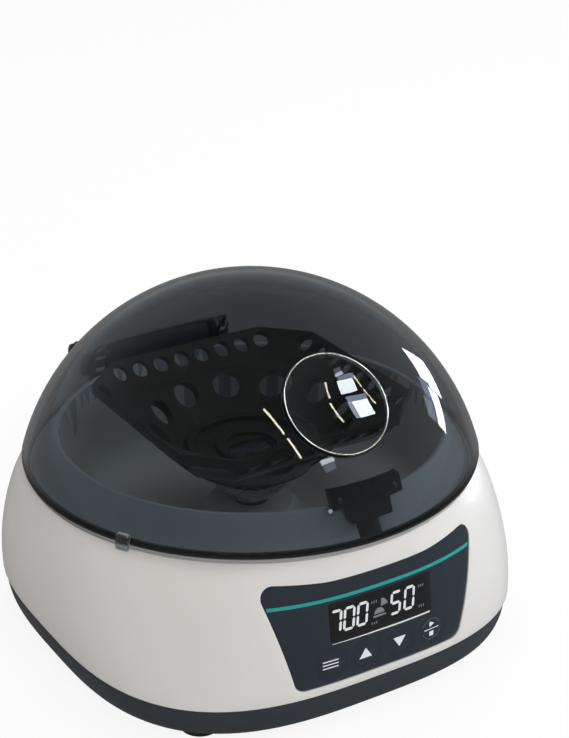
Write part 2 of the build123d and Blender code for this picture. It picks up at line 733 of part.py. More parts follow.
def make_rotor():
    """One-piece rotor: sloping square panels, tube cone, raised ring and keyed hub."""
    top = rim_z + rotor_top_h
    low = top - (rotor_half - rotor_break)
    drop = rotor_half - rotor_break

    def plate(half, corner, z):
        pts = []
        for sx, sy, first in ((1, 1, 0), (-1, 1, 1), (-1, -1, 0), (1, -1, 1)):
            p = (sx * half, sy * (half - corner), z)
            q = (sx * (half - corner), sy * half, z)
            pts += [p, q] if first == 0 else [q, p]
        return make_face(Polyline(*pts, close=True))

    corner_far = rotor_half * sqrt(2) - rotor_corner / sqrt(2)
    low_corner = (rotor_break * sqrt(2) - (corner_far - drop)) * sqrt(2)
    over_half = rotor_half + 1.0
    over_corner = (over_half * sqrt(2) - corner_far - 1.0) * sqrt(2)
    cup = loft([plate(rotor_break, low_corner, low), plate(over_half, over_corner, top + 1.0)], ruled=True)
    lower = loft([plate(rotor_break, low_corner, low - rotor_wall),
                  plate(rotor_half, rotor_corner, top - rotor_wall)], ruled=True)
    edge = extrude(plate(rotor_half, rotor_corner, top - rotor_wall), rotor_wall)
    rotor = lower + edge - cup
    cone = turned([
        (ring_r - 1.0, cone_low_z, 0),
        (ring_r, cone_low_z, 0),
        (rotor_break, low, 0),
        (rotor_break + 0.8, low, 0),
        (rotor_break + 0.8, low - rotor_wall, 0),
        (ring_r, cone_low_z - rotor_wall, 0),
        (ring_r - 1.0, cone_low_z - rotor_wall, 0),
    ])
    well = turned([(0, cone_low_z, 0), (ring_r, cone_low_z, 0), (rotor_break, low, 0), (rotor_break, low + 1, 0),
                   (0, low + 1, 0)])
    under = turned([(0, low - rotor_wall - 30, 0), (rotor_break + 0.4, low - rotor_wall - 30, 0),
                    (rotor_break + 0.4, low - rotor_wall, 0), (ring_r, cone_low_z - rotor_wall, 0),
                    (0, cone_low_z - rotor_wall, 0)])
    rotor = rotor - well - under + cone
    centre = turned([
        (0, cone_low_z, 0),
        (rotor_hub_r - 3.2, cone_low_z, 0),
        (rotor_hub_r - 3.2, cone_low_z + 1.4, 0.3),
        (rotor_hub_r, cone_low_z + 1.4, 0.3),
        (rotor_hub_r, cone_low_z, 0),
        (ring_r - ring_w, cone_low_z, 0.6),
        (ring_r - ring_w, cone_low_z + ring_h, 0.6),
        (ring_r, cone_low_z + ring_h, 0.6),
        (ring_r, disc_low_z, 0.5),
        (rotor_hub_r, disc_low_z, 1.0),
        (rotor_hub_r, hub_top_z, 0.5),
        (0, hub_top_z, 0),
    ])
    rotor += centre
    slope = Vector(1, 0, -1).normalized()
    for i in range(tube_count):
        turn = 15 + 30 * i
        z = top - (rotor_half - tube_r)
        hole = rod(tube_hole_d, tuple(Vector(tube_r, 0, z) - slope * 7), tuple(Vector(tube_r, 0, z) + slope * 9))
        rotor -= Rot(0, 0, turn) * hole
    z = top - (rotor_half - pcr_r)
    for side in range(4):
        holes = []
        for i in range(pcr_count):
            y = (i - (pcr_count - 1) / 2) * pcr_pitch
            mid = Vector(pcr_r, y, z)
            holes.append(rod(pcr_hole_d, tuple(mid - slope * 6), tuple(mid + slope * 7)))
        rotor -= Rot(0, 0, 90 * side) * holes[0].fuse(*holes[1:])
    slot = key_shape(0, hub_top_z - 1, cone_low_z + 3)
    return rotor - slot


def key_shape(shrink, z0, z1):
    """Oblong drive key with a round bulge on each long side."""
    flat = Rectangle(key_slot_l - 2 * shrink, key_slot_w - 2 * shrink)
    flat = fillet(flat.vertices(), 2.2)
    flat += Circle(key_slot_w / 2 + 1.0 - shrink)
    return Pos(0, 0, z0) * extrude(flat, z1 - z0)


def make_drive_hub():
    """Metal hub on the motor shaft whose key drives the rotor."""
    low = bowl_floor_z + boss_h + 2.0
    hub = turned([
        (0, low, 0), (hub_body_r, low, 0.6), (hub_body_r, hub_top_z - hub_flange_t, 0.8),
        (hub_flange_r, hub_top_z - hub_flange_t, 0.6), (hub_flange_r, hub_top_z - eps, 0.4), (0, hub_top_z - eps, 0),
    ])
    key = key_shape(key_play, hub_top_z - 1, cone_low_z - 0.5)
    key = chamfer(key.edges().group_by(Axis.Z)[-1], 0.8)
    hub += key
    return hub - rod(shaft_d + 0.02, (0, 0, low - 1), (0, 0, hub_top_z + 4))


def make_motor_can():
    """Motor housing with its two bearing seats."""
    r = motor_d / 2
    seat = bearing_d / 2 + 0.01
    can = turned([
        (seat, motor_top_z - eps, 0),
        (r, motor_top_z - eps, 1.0),
        (r, motor_low_z, 1.0),
        (seat - 2, motor_low_z, 0),
        (seat - 2, motor_low_z + 1.0, 0),
        (seat, motor_low_z + 1.0, 0),
        (seat, motor_low_z + 1.0 + bearing_t, 0),
        (seat + 1.2, motor_low_z + 1.0 + bearing_t, 0),
        (seat + 1.2, motor_low_z + motor_wall + 1.2, 0),
        (r - motor_wall, motor_low_z + motor_wall + 1.2, 0),
        (r - motor_wall, motor_top_z - motor_wall, 0),
        (seat + 1.2, motor_top_z - motor_wall, 0),
        (seat + 1.2, motor_top_z - bearing_t, 0),
        (seat, motor_top_z - bearing_t, 0),
    ])
    return can


def make_bearings():
    """Two ball bearings as closed rings."""
    out = []
    for z in (motor_low_z + 1.0 + eps, motor_top_z - bearing_t - eps):
        out.append(turned([
            (shaft_d / 2 + pin_play, z, 0.2), (bearing_d / 2, z, 0.3), (bearing_d / 2, z + bearing_t, 0.3),
            (shaft_d / 2 + pin_play, z + bearing_t, 0.2)]))
    return Compound(children=out)


def make_plate():
    """Round steel plate that hangs the motor under the bowl."""
    plate = Pos(0, 0, motor_top_z) * Cylinder(plate_r, plate_t - eps, align=(Align.CENTER, Align.CENTER, Align.MIN))
    plate -= rod(bearing_d - 2, (0, 0, motor_top_z - 1), (0, 0, plate_top_z + 1))
    for x, y in damper_places():
        plate -= rod(screw_d + 2 * screw_play, (x, y, motor_top_z - 1), (x, y, plate_top_z + 1))
    return plate


def damper_places():
    """Places of the three motor dampers."""
    return [(damper_pitch_r * cos(radians(90 + 120 * i)), damper_pitch_r * sin(radians(90 + 120 * i)))
            for i in range(3)]


def make_inlet():
    """Mains inlet housing with its socket."""
    out_y = rear_y + 2.0
    flange = block(-inlet_w / 2 - 3.2, inlet_w / 2 + 3.2, rear_y + eps, out_y,
                   inlet_z - inlet_hh / 2 - 3.0, inlet_z + inlet_hh / 2 + 3.0)
    flange = fillet(flange.edges().filter_by(Axis.Y), 2.0)
    body = block(-inlet_w / 2 - 1.4, inlet_w / 2 + 1.4, out_y - inlet_deep - 2.5, rear_y + 1,
                 inlet_z - inlet_hh / 2 - 1.4, inlet_z + inlet_hh / 2 + 1.4)
    well = rounded_face([
        (-inlet_w / 2, inlet_z - inlet_hh / 2, 1.2), (inlet_w / 2, inlet_z - inlet_hh / 2, 1.2),
        (inlet_w / 2, inlet_z + inlet_hh / 2 - 4.5, 1.0), (inlet_w / 2 - 4.5, inlet_z + inlet_hh / 2, 1.0),
        (-inlet_w / 2 + 4.5, inlet_z + inlet_hh / 2, 1.0), (-inlet_w / 2, inlet_z + inlet_hh / 2 - 4.5, 1.0)])
    cut = extrude(Plane.XZ.offset(-out_y - 1) * well, inlet_deep + 1)
    inlet = flange + body - cut
    for x, z in blade_places():
        inlet -= block(x - 2.01, x + 2.01, out_y - inlet_deep - 4, out_y - inlet_deep + 1, z - 1.01, z + 1.01)
    return inlet


def blade_places():
    """Places of the inlet's three contact blades, as (x, z)."""
    return [(-7.0, inlet_z - 2.0), (7.0, inlet_z - 2.0), (0.0, inlet_z + 2.0)]


def make_blades():
    """Three contact blades of the inlet."""
    out = []
    back = rear_y + 2.0 - inlet_deep
    for x, z in blade_places():
        out.append(block(x - 2, x + 2, back - 9, back + 11, z - 1, z + 1))
    return Compound(children=out)


rocker_y = rear_y - 2.6


def make_switch_frame():
    """Frame of the rear power switch."""
    half_w = rocker_w / 2 + 0.2
    half_h = rocker_r + 0.2
    frame = block(rocker_x - half_w - 1.6, rocker_x + half_w + 1.6, rear_y + eps, rear_y + 1.8,
                  inlet_z - half_h - 1.8, inlet_z + half_h + 1.8)
    frame = fillet(frame.edges().filter_by(Axis.Y), 1.0)
    frame += block(rocker_x - half_w - 0.7, rocker_x + half_w + 0.7, rear_y - 14, rear_y + 1,
                   inlet_z - half_h - 0.7, inlet_z + half_h + 0.7)
    frame -= block(rocker_x - half_w, rocker_x + half_w, rear_y - 12, rear_y + 3,
                   inlet_z - half_h, inlet_z + half_h)
    frame -= rod(2.1, (rocker_x - half_w - 3, rocker_y, inlet_z), (rocker_x + half_w + 3, rocker_y, inlet_z))
    return frame


def make_rocker():
    """Rocker of the power switch, its upper half pressed."""
    rise = rocker_r * tan(radians(rocker_face))
    shape = Plane.YZ.offset(rocker_x - rocker_w / 2) * make_face(Polyline(
        (rocker_y - 3.0, inlet_z - rocker_r), (rocker_y + rocker_rise + rise, inlet_z - rocker_r),
        (rocker_y + rocker_rise, inlet_z), (rocker_y + rocker_rise + rise, inlet_z + rocker_r),
        (rocker_y - 3.0, inlet_z + rocker_r), close=True))
    rocker = extrude(shape, rocker_w)
    rocker &= rod(2 * rocker_r, (rocker_x - 20, rocker_y, inlet_z), (rocker_x + 20, rocker_y, inlet_z))
    half_w = rocker_w / 2 + 0.9
    rocker += rod(2.0, (rocker_x - half_w, rocker_y, inlet_z), (rocker_x + half_w, rocker_y, inlet_z))
    turn = Pos(0, rocker_y, inlet_z) * Rot(rocker_face, 0, 0) * Pos(0, -rocker_y, -inlet_z)
    return turn * rocker


def make_connector():
    """Appliance connector of the lead, pushed into the inlet."""
    out_y = rear_y + 2.0
    gap = 0.15
    nose = block(-inlet_w / 2 + gap, inlet_w / 2 - gap, out_y - inlet_deep + gap, out_y + 3,
                 inlet_z - inlet_hh / 2 + gap, inlet_z + inlet_hh / 2 - gap)
    nose = chamfer(nose.edges().filter_by(Axis.Y).group_by(Axis.Z)[-1], 4.8)
    nose = fillet(nose.edges().filter_by(Axis.Y).group_by(Axis.Z)[0], 1.6)
    for x, z in blade_places():
        nose -= block(x - 2.1, x + 2.1, out_y - inlet_deep - 1, out_y - 2.5, z - 1.1, z + 1.1)
    grip = loft([
        Plane.XZ.offset(-out_y - 0.2) * Pos(0, inlet_z) * RectangleRounded(26.0, 18.6, 4.0),
        Plane.XZ.offset(-out_y - 20.0) * Pos(0, inlet_z) * RectangleRounded(22.0, 16.0, 4.0),
        Plane.XZ.offset(-out_y - 28.0) * Pos(0, inlet_z) * RectangleRounded(13.0, 12.0, 4.0)])
    return nose + grip


connector_end = rear_y + 2.0 + 28.0
relief_length = 20.0


def make_relief(ribs, r0, r1, length):
    """Tapered ribbed sleeve along +Y from the origin."""
    pitch = length / ribs
    sleeve = extrude(Plane.XZ * Circle(cord_d / 2 + 0.9), -length)
    for i in range(ribs):
        t = i / ribs
        r = r0 + (r1 - r0) * t
        sleeve += extrude(Plane.XZ.offset(-(i * pitch)) * Circle(r), -pitch * 0.62)
    return sleeve


# Points of the lead from the connector's sleeve to the coil, straight runs joined by tangent arcs
cord_end = connector_end + relief_length
cord_axis = cord_d / 2
cord_points = [
    (0.0, cord_end - 16.0, inlet_z),
    (0.0, 150.0, inlet_z),
    (8.0, 176.0, 16.0),
    (30.0, 200.0, cord_axis),
    (58.0, coil_y + coil_out_r, cord_axis),
    (coil_x - cord_d, coil_y + coil_out_r, cord_axis),
]


def run_radii(points):
    """Arc radius at each inner point: 0.45 of the shorter run over the tangent of half the turn."""
    radii = []
    for a, b, c in zip(points, points[1:], points[2:]):
        first = Vector(*b) - Vector(*a)
        second = Vector(*c) - Vector(*b)
        turn = radians(first.get_angle(second))
        radii.append(0.45 * min(first.length, second.length) / tan(turn / 2))
    return radii


def half_turn(a, b, heading):
    """Two tangent arcs that turn the lead right round from one point to another."""
    a = Vector(*a)
    b = Vector(*b)
    reach = (b - a).length / 2
    middle = (a + b) * 0.5 + Vector(heading, 0, 0) * reach
    first = TangentArc(a, middle, tangent=Vector(heading, 0, 0))
    second = TangentArc(middle, b, tangent=(b - a).normalized())
    return [first, second]


def coil_stations():
    """Points of the coil on its centre line: in along the lower layer, out along the upper."""
    pitch = cord_d + turn_gap
    upper = cord_axis + cord_d + layer_gap
    out = []
    side = 1
    for i in range(2 * half_turns + 2):
        steps = min(i, 2 * half_turns + 1 - i)
        r = coil_out_r - steps * pitch / 2
        if steps == half_turns:
            r -= climb_inset
        z = cord_axis if i <= half_turns else upper
        out.append((coil_x, coil_y + side * r, z))
        side = -side
    return out


def coil_path():
    """Whole centre line of the coil, with a short straight end on each side."""
    stations = coil_stations()
    edges = [Line((stations[0][0] - cord_d, stations[0][1], stations[0][2]), stations[0])]
    heading = 1
    for a, b in zip(stations, stations[1:]):
        edges += half_turn(a, b, heading)
        heading = -heading
    last = stations[-1]
    end = (last[0] + heading * cord_d, last[1], last[2])
    edges.append(Line(last, end))
    return Wire([e.edge() for e in edges]), end, heading


def least_gap(path, d, turn_length):
    """Least clear distance between turns that lie at least half a turn apart."""
    count = 700
    points = [path.position_at(i / count) for i in range(count + 1)]
    step = path.length / count
    skip = int(turn_length * 0.5 / step)
    best = 1e9
    for i in range(count + 1):
        for j in range(i + skip, count + 1):
            gap = (points[i] - points[j]).length - d
            best = min(best, gap)
    return best


def tube_along(path, d):
    """Round tube along a path."""
    start = path.position_at(0)
    heading = path.tangent_at(0)
    return sweep(Plane(start, z_dir=heading) * Circle(d / 2), path=path)


def make_plug(end, heading):
    """Moulded mains plug lying on its back, its pins up, and its sleeve towards the coil."""
    x = end[0] + heading * (36.0 + plug_r)
    y = end[1]
    z = end[2]
    face = 20.0
    body = turned([(0, 3.0, 0), (plug_r - 3.5, 3.0, 1.5), (plug_r, 8.0, 2.5), (plug_r, face, 1.2), (0, face, 0)])
    body = Pos(x, y, 0) * body
    spine = block(-plug_r * 0.95, plug_r + 6.0, -8.0, 8.0, 0, face - 3)
    spine = fillet(spine.edges().filter_by(Axis.Z), 3.0)
    spine = Pos(x, y, 0) * Rot(0, 0, 0 if heading < 0 else 180) * spine
    plug = body + spine
    for side in (-1, 1):
        plug -= rod(2 * pin_tail_r + 0.02, (x, y + side * plug_pitch / 2, face - pin_tail), (x, y + side * plug_pitch / 2, face + 1))
        plug -= block(x - 3, x + 3, y + side * (plug_r - 1.2) - 2, y + side * (plug_r - 1.2) + 2, face - 14, face + 1)
    sleeve = make_relief(6, 5.8, 4.2, 29.96)
    turn = 90 if heading > 0 else -90
    sleeve = Pos(x - heading * (plug_r + 6.0 + 0.02), y, z) * Rot(0, 0, turn) * sleeve
    return plug, sleeve, (x, y, face)


def make_plug_pins(place):
    """Two round pins of the plug."""
    x, y, face = place
    out = []
    for side in (-1, 1):
        out.append(Pos(x, y + side * plug_pitch / 2, face) * turned([
            (0, -pin_tail, 0), (pin_tail_r, -pin_tail, 0), (pin_tail_r, eps, 0),
            (plug_pin_d / 2, eps, 0), (plug_pin_d / 2, plug_pin_l, 1.2), (0, plug_pin_l, 0)]))
    return Compound(children=out)


def main():
    """Build and write every piece."""
    os.makedirs("parts", exist_ok=True)
    save("upper_shell", make_shell())
    save("base_tray", make_tray())
    save("chamber_bowl", make_bowl())
    save("lid_dome", make_dome())
    save("lid_gasket", make_gasket())
    save("lid_tab", make_lid_tab())
    save("latch_hook", make_latch())
    save("latch_screws", make_latch_screws())
    save("hinge_block", make_hinge_block())
    half = lug_out
    pin = rod(hinge_pin_d, (-half - 1.2, hinge_y, hinge_z), (half + 1.2, hinge_y, hinge_z))
    for side in (-1, 1):
        pin += rod(hinge_head_d, (side * (half + 0.2), hinge_y, hinge_z), (side * (half + 2.4), hinge_y, hinge_z))
    save("hinge_pin", pin)
    screws = [Pos(x, y, rim_z - 9.5 - eps) * screw(deck_screw_d, 14.5, 4.4, 1.8) for x, y in hinge_screw_places()]
    save("hinge_screws", Compound(children=screws))
    save("control_panel", make_panel())
    save("panel_stripe", make_stripe())
    save("display_window", make_window())
    save("lcd_module", block(-window_half + 0.4, window_half - 0.4, board_y - board_t / 2 - 5.2,
                             board_y - board_t / 2 - eps, rim_z + window_low_h + 0.3, rim_z + window_top_h - 0.3))
    save("display_board", make_display_board())
    switches = []
    for name, x in zip(key_names, key_x):
        save(name, make_key(x))
        y = board_y - board_t / 2
        switches.append(block(x - switch_w / 2, x + switch_w / 2, y - switch_h, y - eps,
                              key_z - switch_w / 2, key_z + switch_w / 2))
    save("key_switches", Compound(children=switches))
    save("status_light", led_rod(led_d, 5.0))
    bolt_y = prong_y
    bolt_z = rim_z + eye_h
    rest = prong_w / 2 + bolt_gap
    save("lock_bolt", rod(bolt_d, (rest, bolt_y, bolt_z), (rest + 18.0, bolt_y, bolt_z)))
    solenoid = block(rest + 4.0, rest + 17.0, bolt_y - 3.5, bolt_y + 2.8, bolt_z - 3.1, rim_z - ledge_t - eps)
    solenoid -= rod(bolt_d + 0.1, (rest, bolt_y, bolt_z), (rest + 30, bolt_y, bolt_z))
    save("lock_solenoid", solenoid)
    save("lid_switch", block(-14.0, -prong_w / 2 - 3.2, bolt_y - 3.5, bolt_y + 2.8, bolt_z - 4.0, rim_z - ledge_t - eps))
    for name, x, y in foot_places():
        foot = Pos(x, y, 0) * turned([(0, 0, 0), (foot_r - 0.6, 0, 0.8), (foot_r, base_z - eps, 0.4),
                                      (foot_plug_r, base_z - eps, 0), (foot_plug_r, base_z + 1.8, 0.4),
                                      (0, base_z + 1.8, 0)])
        save(name, foot)
    screws = [Pos(x, y, base_z + 2.4 - eps) * screw(screw_d, 14.0, 5.8, 2.0) for x, y in column_places()]
    save("body_screws", Compound(children=screws))
    screws = [Pos(x, y, rim_z - ledge_t - eps) * screw(deck_screw_d, ledge_t + 1.2, 4.0, 1.6)
              for x, y in deck_screw_places()]
    save("deck_screws", Compound(children=screws))
    save("motor_can", make_motor_can())
    save("motor_bearings", make_bearings())
    core_low = motor_low_z + 1.0 + bearing_t + 0.6
    core_top = motor_top_z - bearing_t - 0.6
    up = (Align.CENTER, Align.CENTER, Align.MIN)
    ring = Cylinder(motor_d / 2 - motor_wall - 0.02, core_top - core_low, align=up)
    ring -= Cylinder(11.2, core_top - core_low, align=up)
    save("motor_coils", Pos(0, 0, core_low) * ring)
    magnet = Cylinder(10.2, core_top - core_low, align=up) - Cylinder(shaft_d / 2 + 0.01, 30, align=up)
    save("motor_magnet", Pos(0, 0, core_low) * magnet)
    save("motor_shaft", rod(shaft_d, (0, 0, motor_low_z + 1.2), (0, 0, hub_top_z + 3.9)))
    save("motor_plate", make_plate())
    dampers = []
    screws = []
    for x, y in damper_places():
        damper = rod(2 * damper_r, (x, y, plate_top_z + eps), (x, y, bowl_under_z - eps))
        dampers.append(damper - rod(screw_d + 2 * screw_play, (x, y, plate_top_z - 1), (x, y, bowl_under_z + 1)))
        screws.append(Pos(x, y, motor_top_z - eps) * screw(screw_d, plate_t + damper_h + 2.4, 5.6, 2.0))
    save("motor_dampers", Compound(children=dampers))
    save("motor_screws", Compound(children=screws))
    seal = turned([(shaft_d / 2 + seal_play, bowl_floor_z - 1.0, 0.2), (shaft_d / 2 + 3.98, bowl_floor_z - 1.0, 0),
                   (shaft_d / 2 + 3.98, bowl_floor_z + boss_h - 0.4, 0),
                   (shaft_d / 2 + seal_play, bowl_floor_z + boss_h - 0.4, 0.4)])
    save("shaft_seal", seal)
    save("drive_hub", make_drive_hub())
    save("rotor", make_rotor())
    save("power_board", make_flat_board(power_board_x))
    save("driver_board", make_flat_board(driver_board_x))
    save("board_parts", make_board_parts())
    save("board_screws", make_board_screws())
    save("power_inlet", make_inlet())
    save("inlet_blades", make_blades())
    save("switch_frame", make_switch_frame())
    save("power_rocker", make_rocker())
    save("cord_connector", make_connector())
    sleeve = Pos(0, connector_end + 0.02, inlet_z) * make_relief(5, 5.6, 4.4, relief_length)
    sleeve -= rod(cord_d + 2 * eps, (0, cord_end - 16.0, inlet_z), (0, cord_end + 5.0, inlet_z))
    save("connector_sleeve", sleeve)
    radii = run_radii(cord_points)
    print("lead radii", [round(r, 1) for r in radii])
    route = FilletPolyline(*cord_points, radius=radii)
    path = Wire(route.edges())
    cord = tube_along(path, cord_d)
    print("lead length", round(path.length, 1), "volume ratio",
          round(cord.volume / (pi * cord_d ** 2 / 4 * path.length), 4))
    save("power_cord", cord)
    turns, end, heading = coil_path()
    coil = tube_along(turns, cord_d)
    print("coil length", round(turns.length, 1), "volume ratio",
          round(coil.volume / (pi * cord_d ** 2 / 4 * turns.length), 4),
          "least gap", round(least_gap(turns, cord_d, 2 * pi * 28), 3))
    save("cord_coil", coil)
    plug, sleeve, place = make_plug(end, heading)
    save("plug_body", plug)
    save("plug_sleeve", sleeve)
    save("plug_pins", make_plug_pins(place))


main()
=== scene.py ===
"""Looks of a mini centrifuge: smoked dome lid, square rotor, grey bowl, white housing, panel and mains lead."""
import logging
import math
from dataclasses import dataclass, field
from enum import Enum
from typing import Callable, Iterable, Sequence

import bmesh
import bpy
from mathutils import Matrix, Vector
from mathutils.bvhtree import BVHTree


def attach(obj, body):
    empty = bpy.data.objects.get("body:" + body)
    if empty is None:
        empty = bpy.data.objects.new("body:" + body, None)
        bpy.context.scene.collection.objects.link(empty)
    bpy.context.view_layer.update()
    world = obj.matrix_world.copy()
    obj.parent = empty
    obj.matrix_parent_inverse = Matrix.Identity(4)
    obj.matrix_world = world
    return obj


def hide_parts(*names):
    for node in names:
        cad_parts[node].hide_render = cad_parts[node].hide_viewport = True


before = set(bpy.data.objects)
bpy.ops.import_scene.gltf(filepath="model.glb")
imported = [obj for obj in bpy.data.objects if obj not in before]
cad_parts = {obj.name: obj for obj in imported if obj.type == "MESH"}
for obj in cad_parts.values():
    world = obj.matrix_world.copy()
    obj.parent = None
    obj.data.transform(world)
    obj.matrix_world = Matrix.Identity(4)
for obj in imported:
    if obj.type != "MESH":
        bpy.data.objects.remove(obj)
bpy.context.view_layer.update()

log = logging.getLogger("centrifuge")

MM = 0.001  # metres in a millimetre, the unit of all sizes below unless they say otherwise
WELD = 2e-6  # points of the CAD meshes nearer than this, in metres, are one
TINY = 1e-7  # length in metres that counts as none
FLAT_DEGREES = 0.6  # CAD faces that meet at less than this angle are joined
RIM_Z = 65.5  # height of the housing's top edge
DOME_R = 89.0
DOME_Z = 43.7  # height of the centre of the dome's sphere
IMAGE_SIZE = (569, 738)


class Body(Enum):
    """CAD bodies that pieces ride on."""

    HOUSING = "housing"
    LID = "lid"
    DRIVE = "drive"
    ROTOR = "tube_rotor"
    MENU = "menu_button"
    UP = "up_button"
    DOWN = "down_button"
    START = "start_button"
    ROCKER = "rocker"
    BOLT = "bolt"


KEYS = {"menu_key": Body.MENU, "up_key": Body.UP, "down_key": Body.DOWN, "start_stop_key": Body.START}

# --------------------------------------------------------------------------- shader groups


def feed(node: bpy.types.Node, **values: object) -> bpy.types.Node:
    """Set plain values on a node's inputs, whose names are written with underscores.

    Args:
        node: Node whose inputs are set.
        values: Value of every input.

    Returns:
        The node.
    """
    for label, value in values.items():
        node.inputs[label.replace("_", " ")].default_value = value
    return node


def new_group(name: str, inputs: Sequence[tuple], outputs: Sequence[tuple]) -> tuple:
    """Make an empty shader group.

    Args:
        name: Name of the group.
        inputs: Pairs of input name and default value.
        outputs: Pairs of output name and socket type.

    Returns:
        The tree, its input node and its output node.
    """
    tree = bpy.data.node_groups.new(name, "ShaderNodeTree")
    for label, default in inputs:
        kind = "NodeSocketColor" if isinstance(default, tuple) else "NodeSocketFloat"
        socket = tree.interface.new_socket(name=label, in_out="INPUT", socket_type=kind)
        socket.default_value = default
    for label, kind in outputs:
        tree.interface.new_socket(name=label, in_out="OUTPUT", socket_type=kind)
    return tree, tree.nodes.new("NodeGroupInput"), tree.nodes.new("NodeGroupOutput")


def moulded_grain_group() -> bpy.types.NodeTree:
    """Fine moulding grain: roughness that wanders a little, and a bump of two grain sizes.

    Returns:
        The shader group.
    """
    tree, enter, leave = new_group(
        "MouldedGrain",
        [("Scale", 900.0), ("Depth", 0.1), ("Rough Low", 0.3), ("Rough High", 0.4)],
        [("Roughness", "NodeSocketFloat"), ("Normal", "NodeSocketVector")],
    )
    link = tree.links.new
    place = tree.nodes.new("ShaderNodeTexCoord")
    fine = feed(tree.nodes.new("ShaderNodeTexNoise"), Detail=2.0)
    link(place.outputs["Object"], fine.inputs["Vector"])
    link(enter.outputs["Scale"], fine.inputs["Scale"])
    broad = feed(tree.nodes.new("ShaderNodeTexNoise"), Scale=35.0, Detail=3.0)
    link(place.outputs["Object"], broad.inputs["Vector"])
    spread = feed(tree.nodes.new("ShaderNodeMapRange"), From_Min=0.35, From_Max=0.65)
    link(broad.outputs["Fac"], spread.inputs["Value"])
    link(enter.outputs["Rough Low"], spread.inputs["To Min"])
    link(enter.outputs["Rough High"], spread.inputs["To Max"])
    bump = feed(tree.nodes.new("ShaderNodeBump"), Distance=0.00005)
    link(fine.outputs["Fac"], bump.inputs["Height"])
    link(enter.outputs["Depth"], bump.inputs["Strength"])
    link(spread.outputs["Result"], leave.inputs["Roughness"])
    link(bump.outputs["Normal"], leave.inputs["Normal"])
    return tree


def tone_group() -> bpy.types.NodeTree:
    """Slow wander between two near tones.

    Returns:
        The shader group.
    """
    tree, enter, leave = new_group(
        "ToneWander",
        [("Tone A", (0.5, 0.5, 0.5, 1.0)), ("Tone B", (0.6, 0.6, 0.6, 1.0)), ("Scale", 12.0)],
        [("Color", "NodeSocketColor")],
    )
    link = tree.links.new
    place = tree.nodes.new("ShaderNodeTexCoord")
    cloud = feed(tree.nodes.new("ShaderNodeTexNoise"), Detail=4.0)
    link(place.outputs["Object"], cloud.inputs["Vector"])
    link(enter.outputs["Scale"], cloud.inputs["Scale"])
    mix = tree.nodes.new("ShaderNodeMix")
    mix.data_type = "RGBA"
    link(cloud.outputs["Fac"], mix.inputs["Factor"])
    link(enter.outputs["Tone A"], mix.inputs["A"])
    link(enter.outputs["Tone B"], mix.inputs["B"])
    link(mix.outputs["Result"], leave.inputs["Color"])
    return tree


def brushed_group() -> bpy.types.NodeTree:
    """Turned or brushed metal: thin streaks across Z in roughness and bump.

    Returns:
        The shader group.
    """
    tree, enter, leave = new_group(
        "BrushedStreaks",
        [("Rough Low", 0.25), ("Rough High", 0.4), ("Depth", 0.2)],
        [("Roughness", "NodeSocketFloat"), ("Normal", "NodeSocketVector")],
    )
    link = tree.links.new
    place = tree.nodes.new("ShaderNodeTexCoord")
    stretch = feed(tree.nodes.new("ShaderNodeMapping"), Scale=(300.0, 300.0, 6000.0))
    link(place.outputs["Object"], stretch.inputs["Vector"])
    streak = feed(tree.nodes.new("ShaderNodeTexNoise"), Scale=1.0)
    link(stretch.outputs["Vector"], streak.inputs["Vector"])
    spread = tree.nodes.new("ShaderNodeMapRange")
    link(streak.outputs["Fac"], spread.inputs["Value"])
    link(enter.outputs["Rough Low"], spread.inputs["To Min"])
    link(enter.outputs["Rough High"], spread.inputs["To Max"])
    bump = feed(tree.nodes.new("ShaderNodeBump"), Distance=0.00004)
    link(streak.outputs["Fac"], bump.inputs["Height"])
    link(enter.outputs["Depth"], bump.inputs["Strength"])
    link(spread.outputs["Result"], leave.inputs["Roughness"])
    link(bump.outputs["Normal"], leave.inputs["Normal"])
    return tree


GROUPS = {"grain": moulded_grain_group(), "tone": tone_group(), "brushed": brushed_group()}


# --------------------------------------------------------------------------- finishes

MADE: dict[str, bpy.types.Material] = {}


def linear(rgb: Sequence[float]) -> tuple:
    """Turn screen values into a linear colour.

    Args:
        rgb: Red, green and blue from 0 to 255.

    Returns:
        Linear red, green and blue, and alpha 1.
    """
    out = []
    for value in rgb:
        part = value / 255.0
        out.append(part / 12.92 if part <= 0.04045 else ((part + 0.055) / 1.055) ** 2.4)
    return (*out, 1.0)


def node_material(name: str) -> tuple:
    """Make a material with nodes.

    Args:
        name: Name of the material.

    Returns:
        The material, its nodes, its link function and its Principled shader.
    """
    made = bpy.data.materials.new(name)
    made.use_nodes = True
    nodes = made.node_tree.nodes
    return made, nodes, made.node_tree.links.new, nodes["Principled BSDF"]


@dataclass(frozen=True)
class SlotFinish:
    """A finish of one material slot, made as a node material when it is first used."""

    name: str
    slot: str

    def material(self) -> bpy.types.Material:
        """Make or find the material.

        Returns:
            The node material of this finish.
        """
        if self.name not in MADE:
            MADE[self.name] = self.make()
        return MADE[self.name]

    def make(self) -> bpy.types.Material:
        """Make the material; every kind of finish has its own way."""
        raise NotImplementedError


